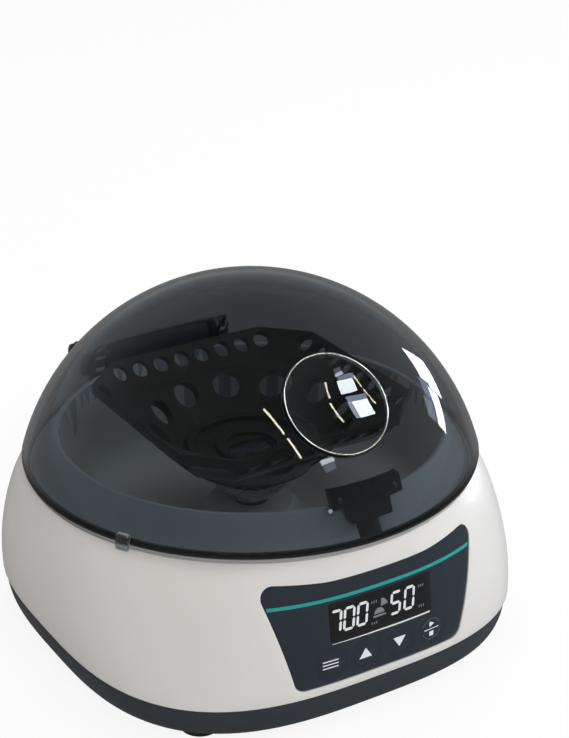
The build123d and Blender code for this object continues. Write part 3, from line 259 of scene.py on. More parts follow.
@dataclass(frozen=True)
class Finish(SlotFinish):
    """Opaque moulding, paint, foil, rubber or metal in two near tones."""

    tone: tuple
    tone_b: tuple
    rough: tuple = (0.35, 0.45)
    grain: float = 900.0
    depth: float = 0.1
    metallic: float = 0.0
    coat: float = 0.0
    glow: float = 0.0
    brushed: bool = False

    def make(self) -> bpy.types.Material:
        """Make the material from the tone group and the grain or streak group.

        Returns:
            The node material.
        """
        made, nodes, link, shader = node_material(self.name)
        tones = nodes.new("ShaderNodeGroup")
        tones.node_tree = GROUPS["tone"]
        feed(tones, Tone_A=linear(self.tone), Tone_B=linear(self.tone_b))
        link(tones.outputs["Color"], shader.inputs["Base Color"])
        surface = nodes.new("ShaderNodeGroup")
        surface.node_tree = GROUPS["brushed" if self.brushed else "grain"]
        feed(surface, Rough_Low=self.rough[0], Rough_High=self.rough[1], Depth=self.depth)
        if not self.brushed:
            feed(surface, Scale=self.grain)
        link(surface.outputs["Roughness"], shader.inputs["Roughness"])
        link(surface.outputs["Normal"], shader.inputs["Normal"])
        feed(shader, Metallic=self.metallic, Coat_Weight=self.coat)
        if self.glow:
            link(tones.outputs["Color"], shader.inputs["Emission Color"])
            feed(shader, Emission_Strength=self.glow)
        return made


@dataclass(frozen=True)
class ClearFinish(SlotFinish):
    """Tinted clear moulding: a smooth dielectric that lets light through to what lies behind."""

    tint: tuple
    shade: tuple
    rough: float = 0.02
    ior: float = 1.49

    def make(self) -> bpy.types.Material:
        """Make the material, which is plain tinted air to shadow and diffuse rays.

        Returns:
            The node material.
        """
        made, nodes, link, shader = node_material(self.name)
        feed(shader, Base_Color=linear(self.tint), Transmission_Weight=1.0, Roughness=self.rough, IOR=self.ior)
        place = nodes.new("ShaderNodeTexCoord")
        haze = feed(nodes.new("ShaderNodeTexNoise"), Scale=18.0)
        link(place.outputs["Object"], haze.inputs["Vector"])
        bump = feed(nodes.new("ShaderNodeBump"), Strength=0.02, Distance=0.0002)
        link(haze.outputs["Fac"], bump.inputs["Height"])
        link(bump.outputs["Normal"], shader.inputs["Normal"])
        through = feed(nodes.new("ShaderNodeBsdfTransparent"), Color=linear(self.shade))
        rays = nodes.new("ShaderNodeLightPath")
        soft = nodes.new("ShaderNodeMath")
        soft.operation = "MAXIMUM"
        link(rays.outputs["Is Shadow Ray"], soft.inputs[0])
        link(rays.outputs["Is Diffuse Ray"], soft.inputs[1])
        mix = nodes.new("ShaderNodeMixShader")
        link(soft.outputs["Value"], mix.inputs["Fac"])
        link(shader.outputs["BSDF"], mix.inputs[1])
        link(through.outputs["BSDF"], mix.inputs[2])
        link(mix.outputs["Shader"], nodes["Material Output"].inputs["Surface"])
        return made


WHITE_SHELL = Finish("white_shell", "white_shell", (227, 224, 221), (221, 218, 215), (0.3, 0.38), 1400, 0.12,
                     coat=0.15)
SLATE = Finish("slate_tray", "slate_plastic", (45, 52, 59), (51, 58, 65), (0.4, 0.5), 1200, 0.2)
BOWL_GREY = Finish("bowl_grey", "slate_plastic", (112, 119, 124), (120, 127, 131), (0.38, 0.48), 1100, 0.15)
# Painted light: a lighter copy of the bowl's grey for the inside of the bowl, standing for light that its shaded
# hollow does not get.
BOWL_PAINTED_LIGHT = Finish("bowl_inside_painted_light", "slate_plastic", (158, 158, 156), (166, 166, 164), (0.4, 0.5), 1100, 0.15)
# Painted shade: grey for the white shell's step ring under the dome's edge, standing for the dome's shadow on it.
STEP_PAINTED_SHADE = Finish("step_painted_shade", "white_shell", (176, 177, 178), (186, 187, 188), (0.4, 0.5), 1400, 0.12)
LATCH_BLACK = Finish("latch_black", "black_plastic", (8, 9, 11), (12, 13, 15), (0.22, 0.3), 1200, 0.1)
BLACK_SATIN = Finish("black_satin", "black_plastic", (22, 23, 26), (28, 29, 33), (0.3, 0.42), 1200, 0.15)
ROTOR_BLACK = Finish("rotor_black", "rotor_black", (40, 40, 35), (47, 47, 42), (0.2, 0.28), 900, 0.06, coat=0.3)
RUBBER = Finish("black_rubber", "black_rubber", (24, 24, 26), (30, 30, 32), (0.6, 0.75), 800, 0.3)
PANEL = Finish("panel_foil", "panel_foil", (36, 45, 54), (40, 49, 58), (0.3, 0.36), 2200, 0.12)
KEY = Finish("key_foil", "key_grey", (36, 45, 54), (40, 49, 58), (0.3, 0.36), 2200, 0.12)
TEAL = Finish("teal_line", "teal_line", (28, 150, 143), (33, 157, 149), (0.3, 0.4), 1500, 0.08)
DISPLAY = Finish("display_glass", "display_dark", (10, 11, 13), (13, 14, 17), (0.1, 0.14), 500, 0.02, coat=0.6)
DIGIT = Finish("lit_digit", "display_dark", (206, 209, 209), (198, 202, 203), (0.4, 0.5), glow=0.3)
# White print with a faint painted glow; the same colour also makes the painted highlight line under the display
# window.
PRINT_AND_PAINTED_HIGHLIGHT = Finish("white_print_and_painted_highlight", "panel_foil", (222, 226, 226), (212, 217, 218), (0.4, 0.5), glow=0.12)
STEEL = Finish("brushed_steel", "steel", (168, 170, 173), (182, 184, 186), (0.22, 0.36), metallic=1.0, brushed=True)
HUB = Finish("turned_hub", "hub_metal", (178, 180, 184), (196, 198, 201), (0.2, 0.34), metallic=1.0, brushed=True)
MOTOR = Finish("motor_paint", "motor_steel", (82, 84, 88), (92, 94, 98), (0.4, 0.5), 700, 0.2)
COPPER = Finish("copper_wire", "copper_wire", (184, 112, 74), (206, 132, 90), (0.25, 0.4), metallic=1.0, brushed=True)
MAGNET = Finish("dark_magnet", "magnet", (74, 74, 78), (84, 84, 88), (0.4, 0.55), metallic=0.8, brushed=True)
BRASS = Finish("contact_brass", "contact_brass", (196, 164, 98), (210, 178, 112), (0.22, 0.35), metallic=1.0,
               brushed=True)
BOARD = Finish("circuit_green", "circuit_green", (22, 82, 50), (30, 94, 58), (0.35, 0.5), 600, 0.25)
LEAD = Finish("lead_grey", "lead_grey", (76, 82, 92), (84, 90, 100), (0.42, 0.55), 1300, 0.2)
LAMP = Finish("white_lamp", "white_lamp", (236, 240, 240), (226, 232, 234), (0.3, 0.4), glow=0.5)
SMOKED = ClearFinish("smoked_clear", "smoked_clear", (170, 175, 179), (240, 243, 245), 0.0)
# Painted highlight: light, metal-like colour of the ring round the dimple's rim, standing for the rim's highlight.
RIM_PAINTED_HIGHLIGHT = Finish("rim_painted_highlight", "smoked_clear", (182, 184, 180), (206, 208, 204), (0.1, 0.18), 900, 0.03,
                  metallic=0.75)
DIM_MARK = Finish("dim_mark", "display_dark", (112, 116, 118), (122, 126, 128), (0.4, 0.5), glow=0.1)
CLEAR_TAB = ClearFinish("clear_tab", "clear_tab", (236, 240, 242), (240, 244, 246), 0.08)


# --------------------------------------------------------------------------- mesh helpers


class Mesher:
    """Small helpers that make, smooth and place meshes."""

    @staticmethod
    def new_object(name: str, mesh: bpy.types.Mesh) -> bpy.types.Object:
        """Link a mesh as a new object.

        Args:
            name: Name of the object.
            mesh: Its mesh.

        Returns:
            The object.
        """
        made = bpy.data.objects.new(name, mesh)
        bpy.context.scene.collection.objects.link(made)
        return made

    @staticmethod
    def from_bmesh(name: str, bm: bmesh.types.BMesh, recalc: bool = True) -> bpy.types.Object:
        """Turn a bmesh into an object.

        Args:
            name: Name of the object.
            bm: Mesh data, which is freed.
            recalc: Whether normals are made to point outwards.

        Returns:
            The new object.
        """
        bmesh.ops.remove_doubles(bm, verts=bm.verts, dist=TINY)
        if recalc:
            bmesh.ops.recalc_face_normals(bm, faces=bm.faces)
        mesh = bpy.data.meshes.new(name)
        bm.to_mesh(mesh)
        bm.free()
        return Mesher.new_object(name, mesh)

    @staticmethod
    def smooth(piece: bpy.types.Object, degrees: float = 32.0) -> None:
        """Shade a piece smooth.

        Args:
            piece: Object to shade.
            degrees: Edges over this angle in degrees stay sharp.
        """
        mesh = piece.data
        mesh.polygons.foreach_set("use_smooth", [True] * len(mesh.polygons))
        mesh.set_sharp_from_angle(angle=math.radians(degrees))

    @staticmethod
    def bake_modifiers(piece: bpy.types.Object) -> None:
        """Replace a piece's mesh by its evaluated mesh and remove its modifiers.

        Args:
            piece: Object with modifiers.
        """
        graph = bpy.context.evaluated_depsgraph_get()
        graph.update()
        mesh = bpy.data.meshes.new_from_object(piece.evaluated_get(graph))
        piece.modifiers.clear()
        piece.data = mesh

    @staticmethod
    def bevel(piece: bpy.types.Object, width: float, angle: float = 38.0, segments: int = 2) -> None:
        """Round the edges of a piece.

        Args:
            piece: Object to round.
            width: Width of the rounding in metres.
            angle: Smallest edge angle that is rounded, in degrees.
            segments: Number of faces across the rounding.
        """
        made = piece.modifiers.new("round", "BEVEL")
        made.width = width
        made.segments = segments
        made.limit_method = "ANGLE"
        made.angle_limit = math.radians(angle)
        made.harden_normals = False
        made.use_clamp_overlap = True
        Mesher.bake_modifiers(piece)

    @staticmethod
    def cut(piece: bpy.types.Object, tool: bpy.types.Object, operation: str = "DIFFERENCE") -> None:
        """Apply a boolean with a tool object, which is then removed.

        Args:
            piece: Object that is changed.
            tool: Object that cuts it or joins it.
            operation: Kind of boolean.
        """
        made = piece.modifiers.new("cut", "BOOLEAN")
        made.operation = operation
        made.solver = "EXACT"
        made.object = tool
        Mesher.bake_modifiers(piece)
        bpy.data.objects.remove(tool)

    @staticmethod
    def box(name: str, low: Sequence[float], high: Sequence[float]) -> bpy.types.Object:
        """Box between two corners in millimetres.

        Args:
            name: Name of the object.
            low: Corner with the lowest coordinates.
            high: Corner with the highest coordinates.

        Returns:
            The box.
        """
        bm = bmesh.new()
        bmesh.ops.create_cube(bm, size=1.0)
        for vert in bm.verts:
            for i in range(3):
                vert.co[i] = (low[i] if vert.co[i] < 0 else high[i]) * MM
        return Mesher.from_bmesh(name, bm)

    @staticmethod
    def prism_x(name: str, outline: Sequence[tuple], x0: float, x1: float) -> bpy.types.Object:
        """Prism along X from a (y, z) outline in millimetres.

        Args:
            name: Name of the object.
            outline: Corners of the outline.
            x0: Where the prism begins.
            x1: Where it ends.

        Returns:
            The prism.
        """
        bm = bmesh.new()
        first = [bm.verts.new((x0 * MM, y * MM, z * MM)) for y, z in outline]
        second = [bm.verts.new((x1 * MM, y * MM, z * MM)) for y, z in outline]
        count = len(outline)
        bm.faces.new(first)
        bm.faces.new(list(reversed(second)))
        for i in range(count):
            j = (i + 1) % count
            bm.faces.new((first[i], first[j], second[j], second[i]))
        return Mesher.from_bmesh(name, bm)

    @staticmethod
    def revolve(name: str, profile: Sequence[tuple], segments: int = 160) -> bpy.types.Object:
        """Closed solid of revolution about Z.

        Args:
            name: Name of the object.
            profile: Closed (radius, height) outline in millimetres.
            segments: Number of steps round Z.

        Returns:
            The solid.
        """
        bm = bmesh.new()
        rings = []
        for i in range(segments):
            turn = 2 * math.pi * i / segments
            x, y = math.cos(turn), math.sin(turn)
            rings.append([bm.verts.new((r * MM * x, r * MM * y, z * MM)) for r, z in profile])
        count = len(profile)
        for i in range(segments):
            here, there = rings[i], rings[(i + 1) % segments]
            for j in range(count):
                k = (j + 1) % count
                bm.faces.new((here[j], there[j], there[k], here[k]))
        return Mesher.from_bmesh(name, bm)


def dress(piece: bpy.types.Object, finish: SlotFinish, body: Body, *nodes: str) -> bpy.types.Object:
    """Give a piece its finish and its body, and hide the CAD nodes it stands for.

    Args:
        piece: Finished object.
        finish: Finish of the whole piece.
        body: Body it rides on.
        nodes: CAD nodes it replaces.

    Returns:
        The piece.
    """
    piece.data.materials.clear()
    piece.data.materials.append(finish.material())
    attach(piece, body.value)
    if nodes:
        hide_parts(*nodes)
    log.info("%s: %d faces on %s", piece.name, len(piece.data.polygons), body.value)
    return piece


def cad_copy(node: str, name: str, sectors: int = 1) -> bpy.types.Object:
    """Merged copy of a CAD node's mesh, with flat areas joined, ready to be rounded and smoothed.

    Args:
        node: Name of the CAD node.
        name: Name of the copy.
        sectors: Number of sectors round Z that stay apart, so that no thin flat ring closes into one face.

    Returns:
        The copy.
    """
    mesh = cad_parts[node].data.copy()
    mesh.name = name
    bm = bmesh.new()
    bm.from_mesh(mesh)
    bmesh.ops.remove_doubles(bm, verts=bm.verts, dist=WELD)
    bmesh.ops.dissolve_degenerate(bm, edges=bm.edges, dist=TINY)
    for face in bm.faces:
        middle = face.calc_center_median()
        face.material_index = int((math.atan2(middle.y, middle.x) / math.tau + 0.5) * sectors) % sectors
    flat = math.radians(FLAT_DEGREES)
    bmesh.ops.dissolve_limit(bm, angle_limit=flat, verts=bm.verts, edges=bm.edges, delimit={"MATERIAL"})
    for face in bm.faces:
        face.material_index = 0
    bm.to_mesh(mesh)
    bm.free()
    for layer in list(mesh.attributes):
        if layer.name in ("custom_normal", "sharp_edge", "sharp_face"):
            mesh.attributes.remove(layer)
    return Mesher.new_object(name, mesh)


# --------------------------------------------------------------------------- camera and studio


@dataclass
class Viewpoint:
    """Camera at the photograph's viewing angle."""

    azimuth: float = -30.58
    elevation: float = 27.30
    distance: float = 672.0
    focal_px: float = 1782.9
    pan: float = -1.22
    tilt: float = -2.55
    sensor: float = 36.0

    @staticmethod
    def outward(azimuth: float, elevation: float) -> Vector:
        """Unit direction from the object at an azimuth and elevation in degrees."""
        az, el = math.radians(azimuth), math.radians(elevation)
        return Vector((math.sin(az) * math.cos(el), -math.cos(az) * math.cos(el), math.sin(el)))

    def build(self) -> bpy.types.Object:
        """Make the camera and make it the scene's own.

        Returns:
            The camera object.
        """
        place = self.outward(self.azimuth, self.elevation) * self.distance * MM
        place.z += RIM_Z * MM
        forward = -self.outward(self.azimuth + self.pan, self.elevation + self.tilt)
        lens = bpy.data.cameras.new("camera")
        lens.sensor_fit = "HORIZONTAL"
        lens.sensor_width = self.sensor
        lens.lens = self.focal_px / IMAGE_SIZE[0] * lens.sensor_width
        lens.clip_start = 0.01
        lens.clip_end = 50.0
        made = bpy.data.objects.new("camera", lens)
        made.location = place
        made.rotation_euler = forward.to_track_quat("-Z", "Y").to_euler()
        bpy.context.scene.collection.objects.link(made)
        bpy.context.scene.camera = made
        return made


COOL, BLUE, WARM = (0.88, 0.95, 1.0), (0.62, 0.72, 1.0), (1.0, 0.93, 0.72)


@dataclass(frozen=True)
class Lamp:
    """Soft rectangular lamp: place, aim and size in metres, power in watts, and colour."""

    name: str
    place: tuple
    aim: tuple
    size: tuple
    power: float
    tone: tuple = (1, 1, 1)

    def build(self) -> None:
        """Hang the lamp; only diffuse faces see it."""
        data = bpy.data.lights.new(self.name, "AREA")
        data.shape = "RECTANGLE"
        data.size, data.size_y = self.size
        data.energy = self.power
        data.color = self.tone
        made = bpy.data.objects.new(self.name, data)
        made.location = self.place
        made.rotation_euler = (Vector(self.aim) - Vector(self.place)).to_track_quat("-Z", "Y").to_euler()
        made.visible_glossy = False
        made.visible_transmission = False
        bpy.context.scene.collection.objects.link(made)


@dataclass(frozen=True)
class Cell:
    """One lit part of a pane: its left, top, right and low share, its brightness and its colour."""

    left: float
    top: float
    right: float
    low: float
    radiance: float
    tone: tuple


@dataclass(frozen=True)
class Pane:
    """Lamps in one plane, which the dome mirrors between four spots of the picture.

    The spots are top left, top right, low right and low left, in pixels. A hollow pane is mirrored by
    the dome's dimple, any other by the dome's sphere. The corners of a flat pane get such distances that
    they lie as a parallelogram. The reach is the distance from the dome in metres.
    """

    name: str
    spots: tuple
    cells: tuple
    hollow: bool = False
    flat: bool = False
    reach: float = 1.2

    def mirrored(self, spot: tuple) -> tuple:
        """Where the dome is hit at a spot of the picture and where it mirrors to.

        Args:
            spot: Picture point.

        Returns:
            The point on the dome and the unit direction that it mirrors.
        """
        camera = bpy.context.scene.camera
        focal = camera.data.lens / camera.data.sensor_width * IMAGE_SIZE[0]
        centre, radius, side = Vector((0, 0, DOME_Z * MM)), DOME_R * MM, -1.0
        if self.hollow:
            lid = DomeLid()
            lean = math.radians(lid.tilt)
            centre += Vector((0, -lid.ball_far * math.sin(lean), lid.ball_far * math.cos(lean))) * MM
            radius, side = lid.dimple_ball * MM, 1.0
        ray = Vector((spot[0] - IMAGE_SIZE[0] / 2, IMAGE_SIZE[1] / 2 - spot[1], -focal))
        ray = (camera.rotation_euler.to_matrix() @ ray).normalized()
        away = camera.location - centre
        half = ray.dot(away)
        inside = max(half * half - away.length_squared + radius**2, 0.0)
        hit = camera.location + ray * (-half + side * math.sqrt(inside))
        normal = (hit - centre).normalized()
        return hit, ray - 2 * ray.dot(normal) * normal

    def corners(self) -> list:
        """Corners of the pane.

        Returns:
            Four points in metres, in the order of the spots.
        """
        hits, ways = zip(*(self.mirrored(spot) for spot in self.spots))
        reaches = [self.reach] * 4
        if self.flat:
            system = Matrix((-ways[1], ways[2], -ways[3])).transposed()
            offset = hits[0] - hits[1] + hits[2] - hits[3] + self.reach * ways[0]
            reaches[1:] = system.inverted() @ -offset
        return [hit + way * length for hit, way, length in zip(hits, ways, reaches)]

    def build(self) -> None:
        """Hang one lamp for every cell; only glossy faces see them."""
        corners = self.corners()
        middle = sum(corners, Vector()) / 4
        wide = (corners[1] - corners[0] + corners[2] - corners[3]) / 2
        tall = (corners[0] - corners[3] + corners[1] - corners[2]) / 2
        out = wide.cross(tall).normalized() if self.flat else (middle - Vector((0, 0, DOME_Z * MM))).normalized()
        if out.dot(middle) < 0:
            out = -out
        across = (wide - out * wide.dot(out)).normalized()
        up = out.cross(across)
        turned = Matrix((across, up, out)).transposed().to_4x4()
        width, height = wide.length, tall.dot(up)
        slant = (tall - up * height).dot(across)
        log.info("%s: %.2f x %.2f m", self.name, width, height)
        for i, cell in enumerate(self.cells):
            data = bpy.data.lights.new(f"{self.name}_{i}", "AREA")
            data.shape = "RECTANGLE"
            data.size = width * (cell.right - cell.left)
            data.size_y = abs(height) * (cell.low - cell.top) + MM
            data.energy = cell.radiance * math.pi * data.size * data.size_y
            data.color = cell.tone
            made = bpy.data.objects.new(data.name, data)
            share = 0.5 - (cell.top + cell.low) / 2
            shift = width * ((cell.left + cell.right) / 2 - 0.5) + slant * share
            made.matrix_world = Matrix.Translation(middle + across * shift + up * height * share) @ turned
            made.visible_diffuse = False
            made.visible_transmission = False
            bpy.context.scene.collection.objects.link(made)


def whole(radiance: float, tone: tuple) -> tuple:
    """Cells of a pane that is lit as one."""
    return (Cell(0, 0, 1, 1, radiance, tone),)


LAMPS = (
    Lamp("right_window", (1.5, -0.5, 1.0), (0, 0, 0.06), (1.0, 1.0), 18.5, (0.85, 0.925, 1.0)),
    Lamp("front_soft", (-0.3, -1.7, 1.5), (0, 0, 0.05), (1.2, 0.9), 12.6, (1.0, 0.985, 0.965)),
    Lamp("top", (0.1, 0.4, 1.7), (0, 0, 0.05), (1.0, 1.0), 9.0),
)
PANES = (
    Pane("window", ((404, 349), (425.5, 363.5), (444, 431), (427, 414)), (
        Cell(0.0, 0.0, 0.34, 0.4, 11.0, COOL), Cell(0.36, 0.0, 0.68, 0.45, 12.0, COOL),
        Cell(0.7, 0.0, 1.0, 0.45, 11.0, COOL), Cell(0.5, 0.47, 0.74, 1.0, 12.0, COOL),
        Cell(0.76, 0.47, 1.0, 1.0, 13.0, COOL), Cell(0.0, 0.42, 0.48, 0.68, 1.8, BLUE),
        Cell(0.0, 0.7, 0.48, 1.0, 2.4, BLUE)), flat=True),
    Pane("low_window", ((320, 461), (333, 455), (335, 460), (322, 466)), whole(12.0, COOL)),
    Pane("low_window_dim", ((322, 467), (335, 461), (336, 468), (327, 473)), whole(2.4, BLUE)),
    Pane("strip_upper", ((262.8, 409.4), (264.6, 408.4), (285, 433.6), (283.4, 434.8)), whole(24.0, WARM)),
    Pane("strip_lower", ((286.8, 439), (288.4, 438), (302, 457.8), (300.4, 458.8)), whole(24.0, WARM)),
    Pane("hollow_upper", ((337.3, 376), (353.3, 372.7), (356, 390.7), (340, 394)), (
        Cell(0, 0.0, 1, 0.3, 6.0, BLUE), Cell(0, 0.3, 1, 1, 24.0, COOL)), hollow=True, reach=0.1),
    Pane("hollow_lower", ((347, 396), (364, 394.5), (376.5, 412.5), (356, 420.5)), (
        Cell(0, 0.0, 1, 0.25, 7.0, BLUE), Cell(0.0, 0.25, 0.2, 1, 10.0, BLUE),
        Cell(0.22, 0.25, 1, 1, 26.0, COOL)), hollow=True, reach=0.1),
    Pane("hollow_strip_upper", ((324, 382), (325.8, 382), (331, 398.2), (329.2, 398.4)), whole(18.0, WARM),
         hollow=True),
    Pane("hollow_strip_lower", ((330.8, 402.4), (332.6, 402), (343, 422.4), (341.2, 423.2)), whole(20.0, WARM),
         hollow=True),
)


@dataclass
class Studio:
    """Plain pale floor, pale surroundings, soft lamps and small panes that glossy faces mirror."""

    floor_tone: tuple = (238, 238, 238)
    floor_half: float = 4.0
    floor_white: float = 0.9
    floor_mirrored: float = 0.2
    world_tone: tuple = (1.0, 0.985, 0.96, 1.0)
    world_level: float = 0.44
    mirror_tone: tuple = (0.86, 0.94, 1.0, 1.0)
    mirror_low: float = 0.3
    mirror_high: float = 0.05

    @staticmethod
    def seen_directly(nodes: bpy.types.Nodes, link: Callable, rays: bpy.types.Node) -> bpy.types.NodeSocket:
        """Socket that is 1 for a camera ray and for a ray that came through the clear dome.

        Args:
            nodes: Nodes of the material or world.
            link: Link function of its tree.
            rays: Its Light Path node.

        Returns:
            The socket.
        """
        either = nodes.new("ShaderNodeMath")
        either.operation = "MAXIMUM"
        link(rays.outputs["Is Camera Ray"], either.inputs[0])
        link(rays.outputs["Is Transmission Ray"], either.inputs[1])
        return either.outputs["Value"]

    def floor(self) -> bpy.types.Object:
        """Make the floor with its soft shadow.

        Returns:
            The floor object.
        """
        bm = bmesh.new()
        bmesh.ops.create_grid(bm, x_segments=2, y_segments=2, size=self.floor_half)
        made = Mesher.from_bmesh("floor", bm, recalc=False)
        finish, nodes, link, shader = node_material("pale_floor")
        feed(shader, Base_Color=linear(self.floor_tone), Roughness=0.9, Specular_IOR_Level=0.1)
        bright = feed(nodes.new("ShaderNodeEmission"), Strength=1.0)
        dim = feed(nodes.new("ShaderNodeEmission"), Strength=self.floor_mirrored)
        rays = nodes.new("ShaderNodeLightPath")
        part = nodes.new("ShaderNodeMath")
        part.operation = "MULTIPLY"
        part.inputs[1].default_value = self.floor_white
        link(self.seen_directly(nodes, link, rays), part.inputs[0])
        mix = nodes.new("ShaderNodeMixShader")
        link(part.outputs["Value"], mix.inputs["Fac"])
        link(shader.outputs["BSDF"], mix.inputs[1])
        link(bright.outputs["Emission"], mix.inputs[2])
        glossy = nodes.new("ShaderNodeMixShader")
        link(rays.outputs["Is Glossy Ray"], glossy.inputs["Fac"])
        link(mix.outputs["Shader"], glossy.inputs[1])
        link(dim.outputs["Emission"], glossy.inputs[2])
        link(glossy.outputs["Shader"], nodes["Material Output"].inputs["Surface"])
        made.data.materials.append(finish)
        return made

    def world(self) -> None:
        """Light the surroundings evenly, show them white to the camera and dim to mirrored rays."""
        world = bpy.data.worlds.new("studio")
        bpy.context.scene.world = world
        world.use_nodes = True
        nodes = world.node_tree.nodes
        link = world.node_tree.links.new
        back = feed(nodes["Background"], Color=self.world_tone, Strength=self.world_level)
        white = feed(nodes.new("ShaderNodeBackground"), Color=(1.0, 1.0, 1.0, 1.0))
        place = nodes.new("ShaderNodeTexCoord")
        split = nodes.new("ShaderNodeSeparateXYZ")
        link(place.outputs["Generated"], split.inputs["Vector"])
        fade = feed(nodes.new("ShaderNodeMapRange"), From_Min=0.0, From_Max=0.8)
        feed(fade, To_Min=self.mirror_low, To_Max=self.mirror_high)
        link(split.outputs["Z"], fade.inputs["Value"])
        dim = feed(nodes.new("ShaderNodeBackground"), Color=self.mirror_tone)
        link(fade.outputs["Result"], dim.inputs["Strength"])
        rays = nodes.new("ShaderNodeLightPath")
        seen = nodes.new("ShaderNodeMixShader")
        link(self.seen_directly(nodes, link, rays), seen.inputs["Fac"])
        link(back.outputs["Background"], seen.inputs[1])
        link(white.outputs["Background"], seen.inputs[2])
        mix = nodes.new("ShaderNodeMixShader")
        link(rays.outputs["Is Glossy Ray"], mix.inputs["Fac"])
        link(seen.outputs["Shader"], mix.inputs[1])
        link(dim.outputs["Background"], mix.inputs[2])
        link(mix.outputs["Shader"], nodes["World Output"].inputs["Surface"])

    def build(self) -> None:
        """Make floor, world, lamps and panes."""
        self.floor()
        self.world()
        for light in (*LAMPS, *PANES):
            light.build()


# --------------------------------------------------------------------------- mains lead


@dataclass
class Lead:
    """Mains lead from the appliance connector to the coil and plug."""

    diameter: float = 6.2
    length: float = 1490.0
    coil_centre: tuple = (98.0, 160.0)
    coil_radius: float = 44.0
    pitch: float = 7.0
    lower: float = 3.1
    upper: float = 10.7
    climb_inset: float = 0.8
    half_turns: int = 6
    points_per_half: int = 12
    route: tuple = (
        (0.0, 119.2, 30.0),
        (0.0, 150.0, 30.0),
        (8.0, 176.0, 16.0),
        (30.0, 200.0, 3.1),
        (58.0, 204.0, 3.1),
        (91.8, 204.0, 3.1),
    )

    def coil_points(self) -> list:
        """Points of the coil's turns: in along the lower layer, out along the upper.

        Returns:
            Points in millimetres.
        """
        last = 2 * self.half_turns + 1
        stations = []
        for i in range(last + 1):
            steps = min(i, last - i)
            inset = self.climb_inset if steps == self.half_turns else 0.0
            stations.append(self.coil_radius - steps * self.pitch / 2 - inset)
        points = []
        for k in range(last * self.points_per_half + 1):
            along = k / self.points_per_half
            i = min(int(along), last - 1)
            part = along - i
            radius = stations[i] + (stations[i + 1] - stations[i]) * part
            climb = 0.0 if i < self.half_turns else 1.0
            if i == self.half_turns:
                climb = (1 - math.cos(math.pi * part)) / 2
            turn = math.pi / 2 - math.pi * along
            x = self.coil_centre[0] + radius * math.cos(turn)
            y = self.coil_centre[1] + radius * math.sin(turn)
            points.append((x, y, self.lower + (self.upper - self.lower) * climb))
        return points

    def build(self) -> bpy.types.Object:
        """Returns:
            The lead's curve object.
        """
        coil = self.coil_points()
        end = coil[-1]
        points = [*self.route, *coil, (end[0] - self.diameter, end[1], end[2])]
        curve = bpy.data.curves.new("mains_lead", "CURVE")
        curve.dimensions = "3D"
        curve.bevel_depth = self.diameter / 2 * MM
        curve.bevel_resolution = 6
        curve.use_fill_caps = True
        curve.resolution_u = 6
        spline = curve.splines.new("NURBS")
        spline.points.add(len(points) - 1)
        for item, (x, y, z) in zip(spline.points, points):
            item.co = (x * MM, y * MM, z * MM, 1.0)
        spline.order_u = 3
        spline.use_endpoint_u = True
        made = bpy.data.objects.new("mains_lead", curve)
        bpy.context.scene.collection.objects.link(made)
        curve.materials.append(LEAD.material())
        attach(made, Body.HOUSING.value)
        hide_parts("power_cord", "cord_coil")
        return made


# --------------------------------------------------------------------------- lid


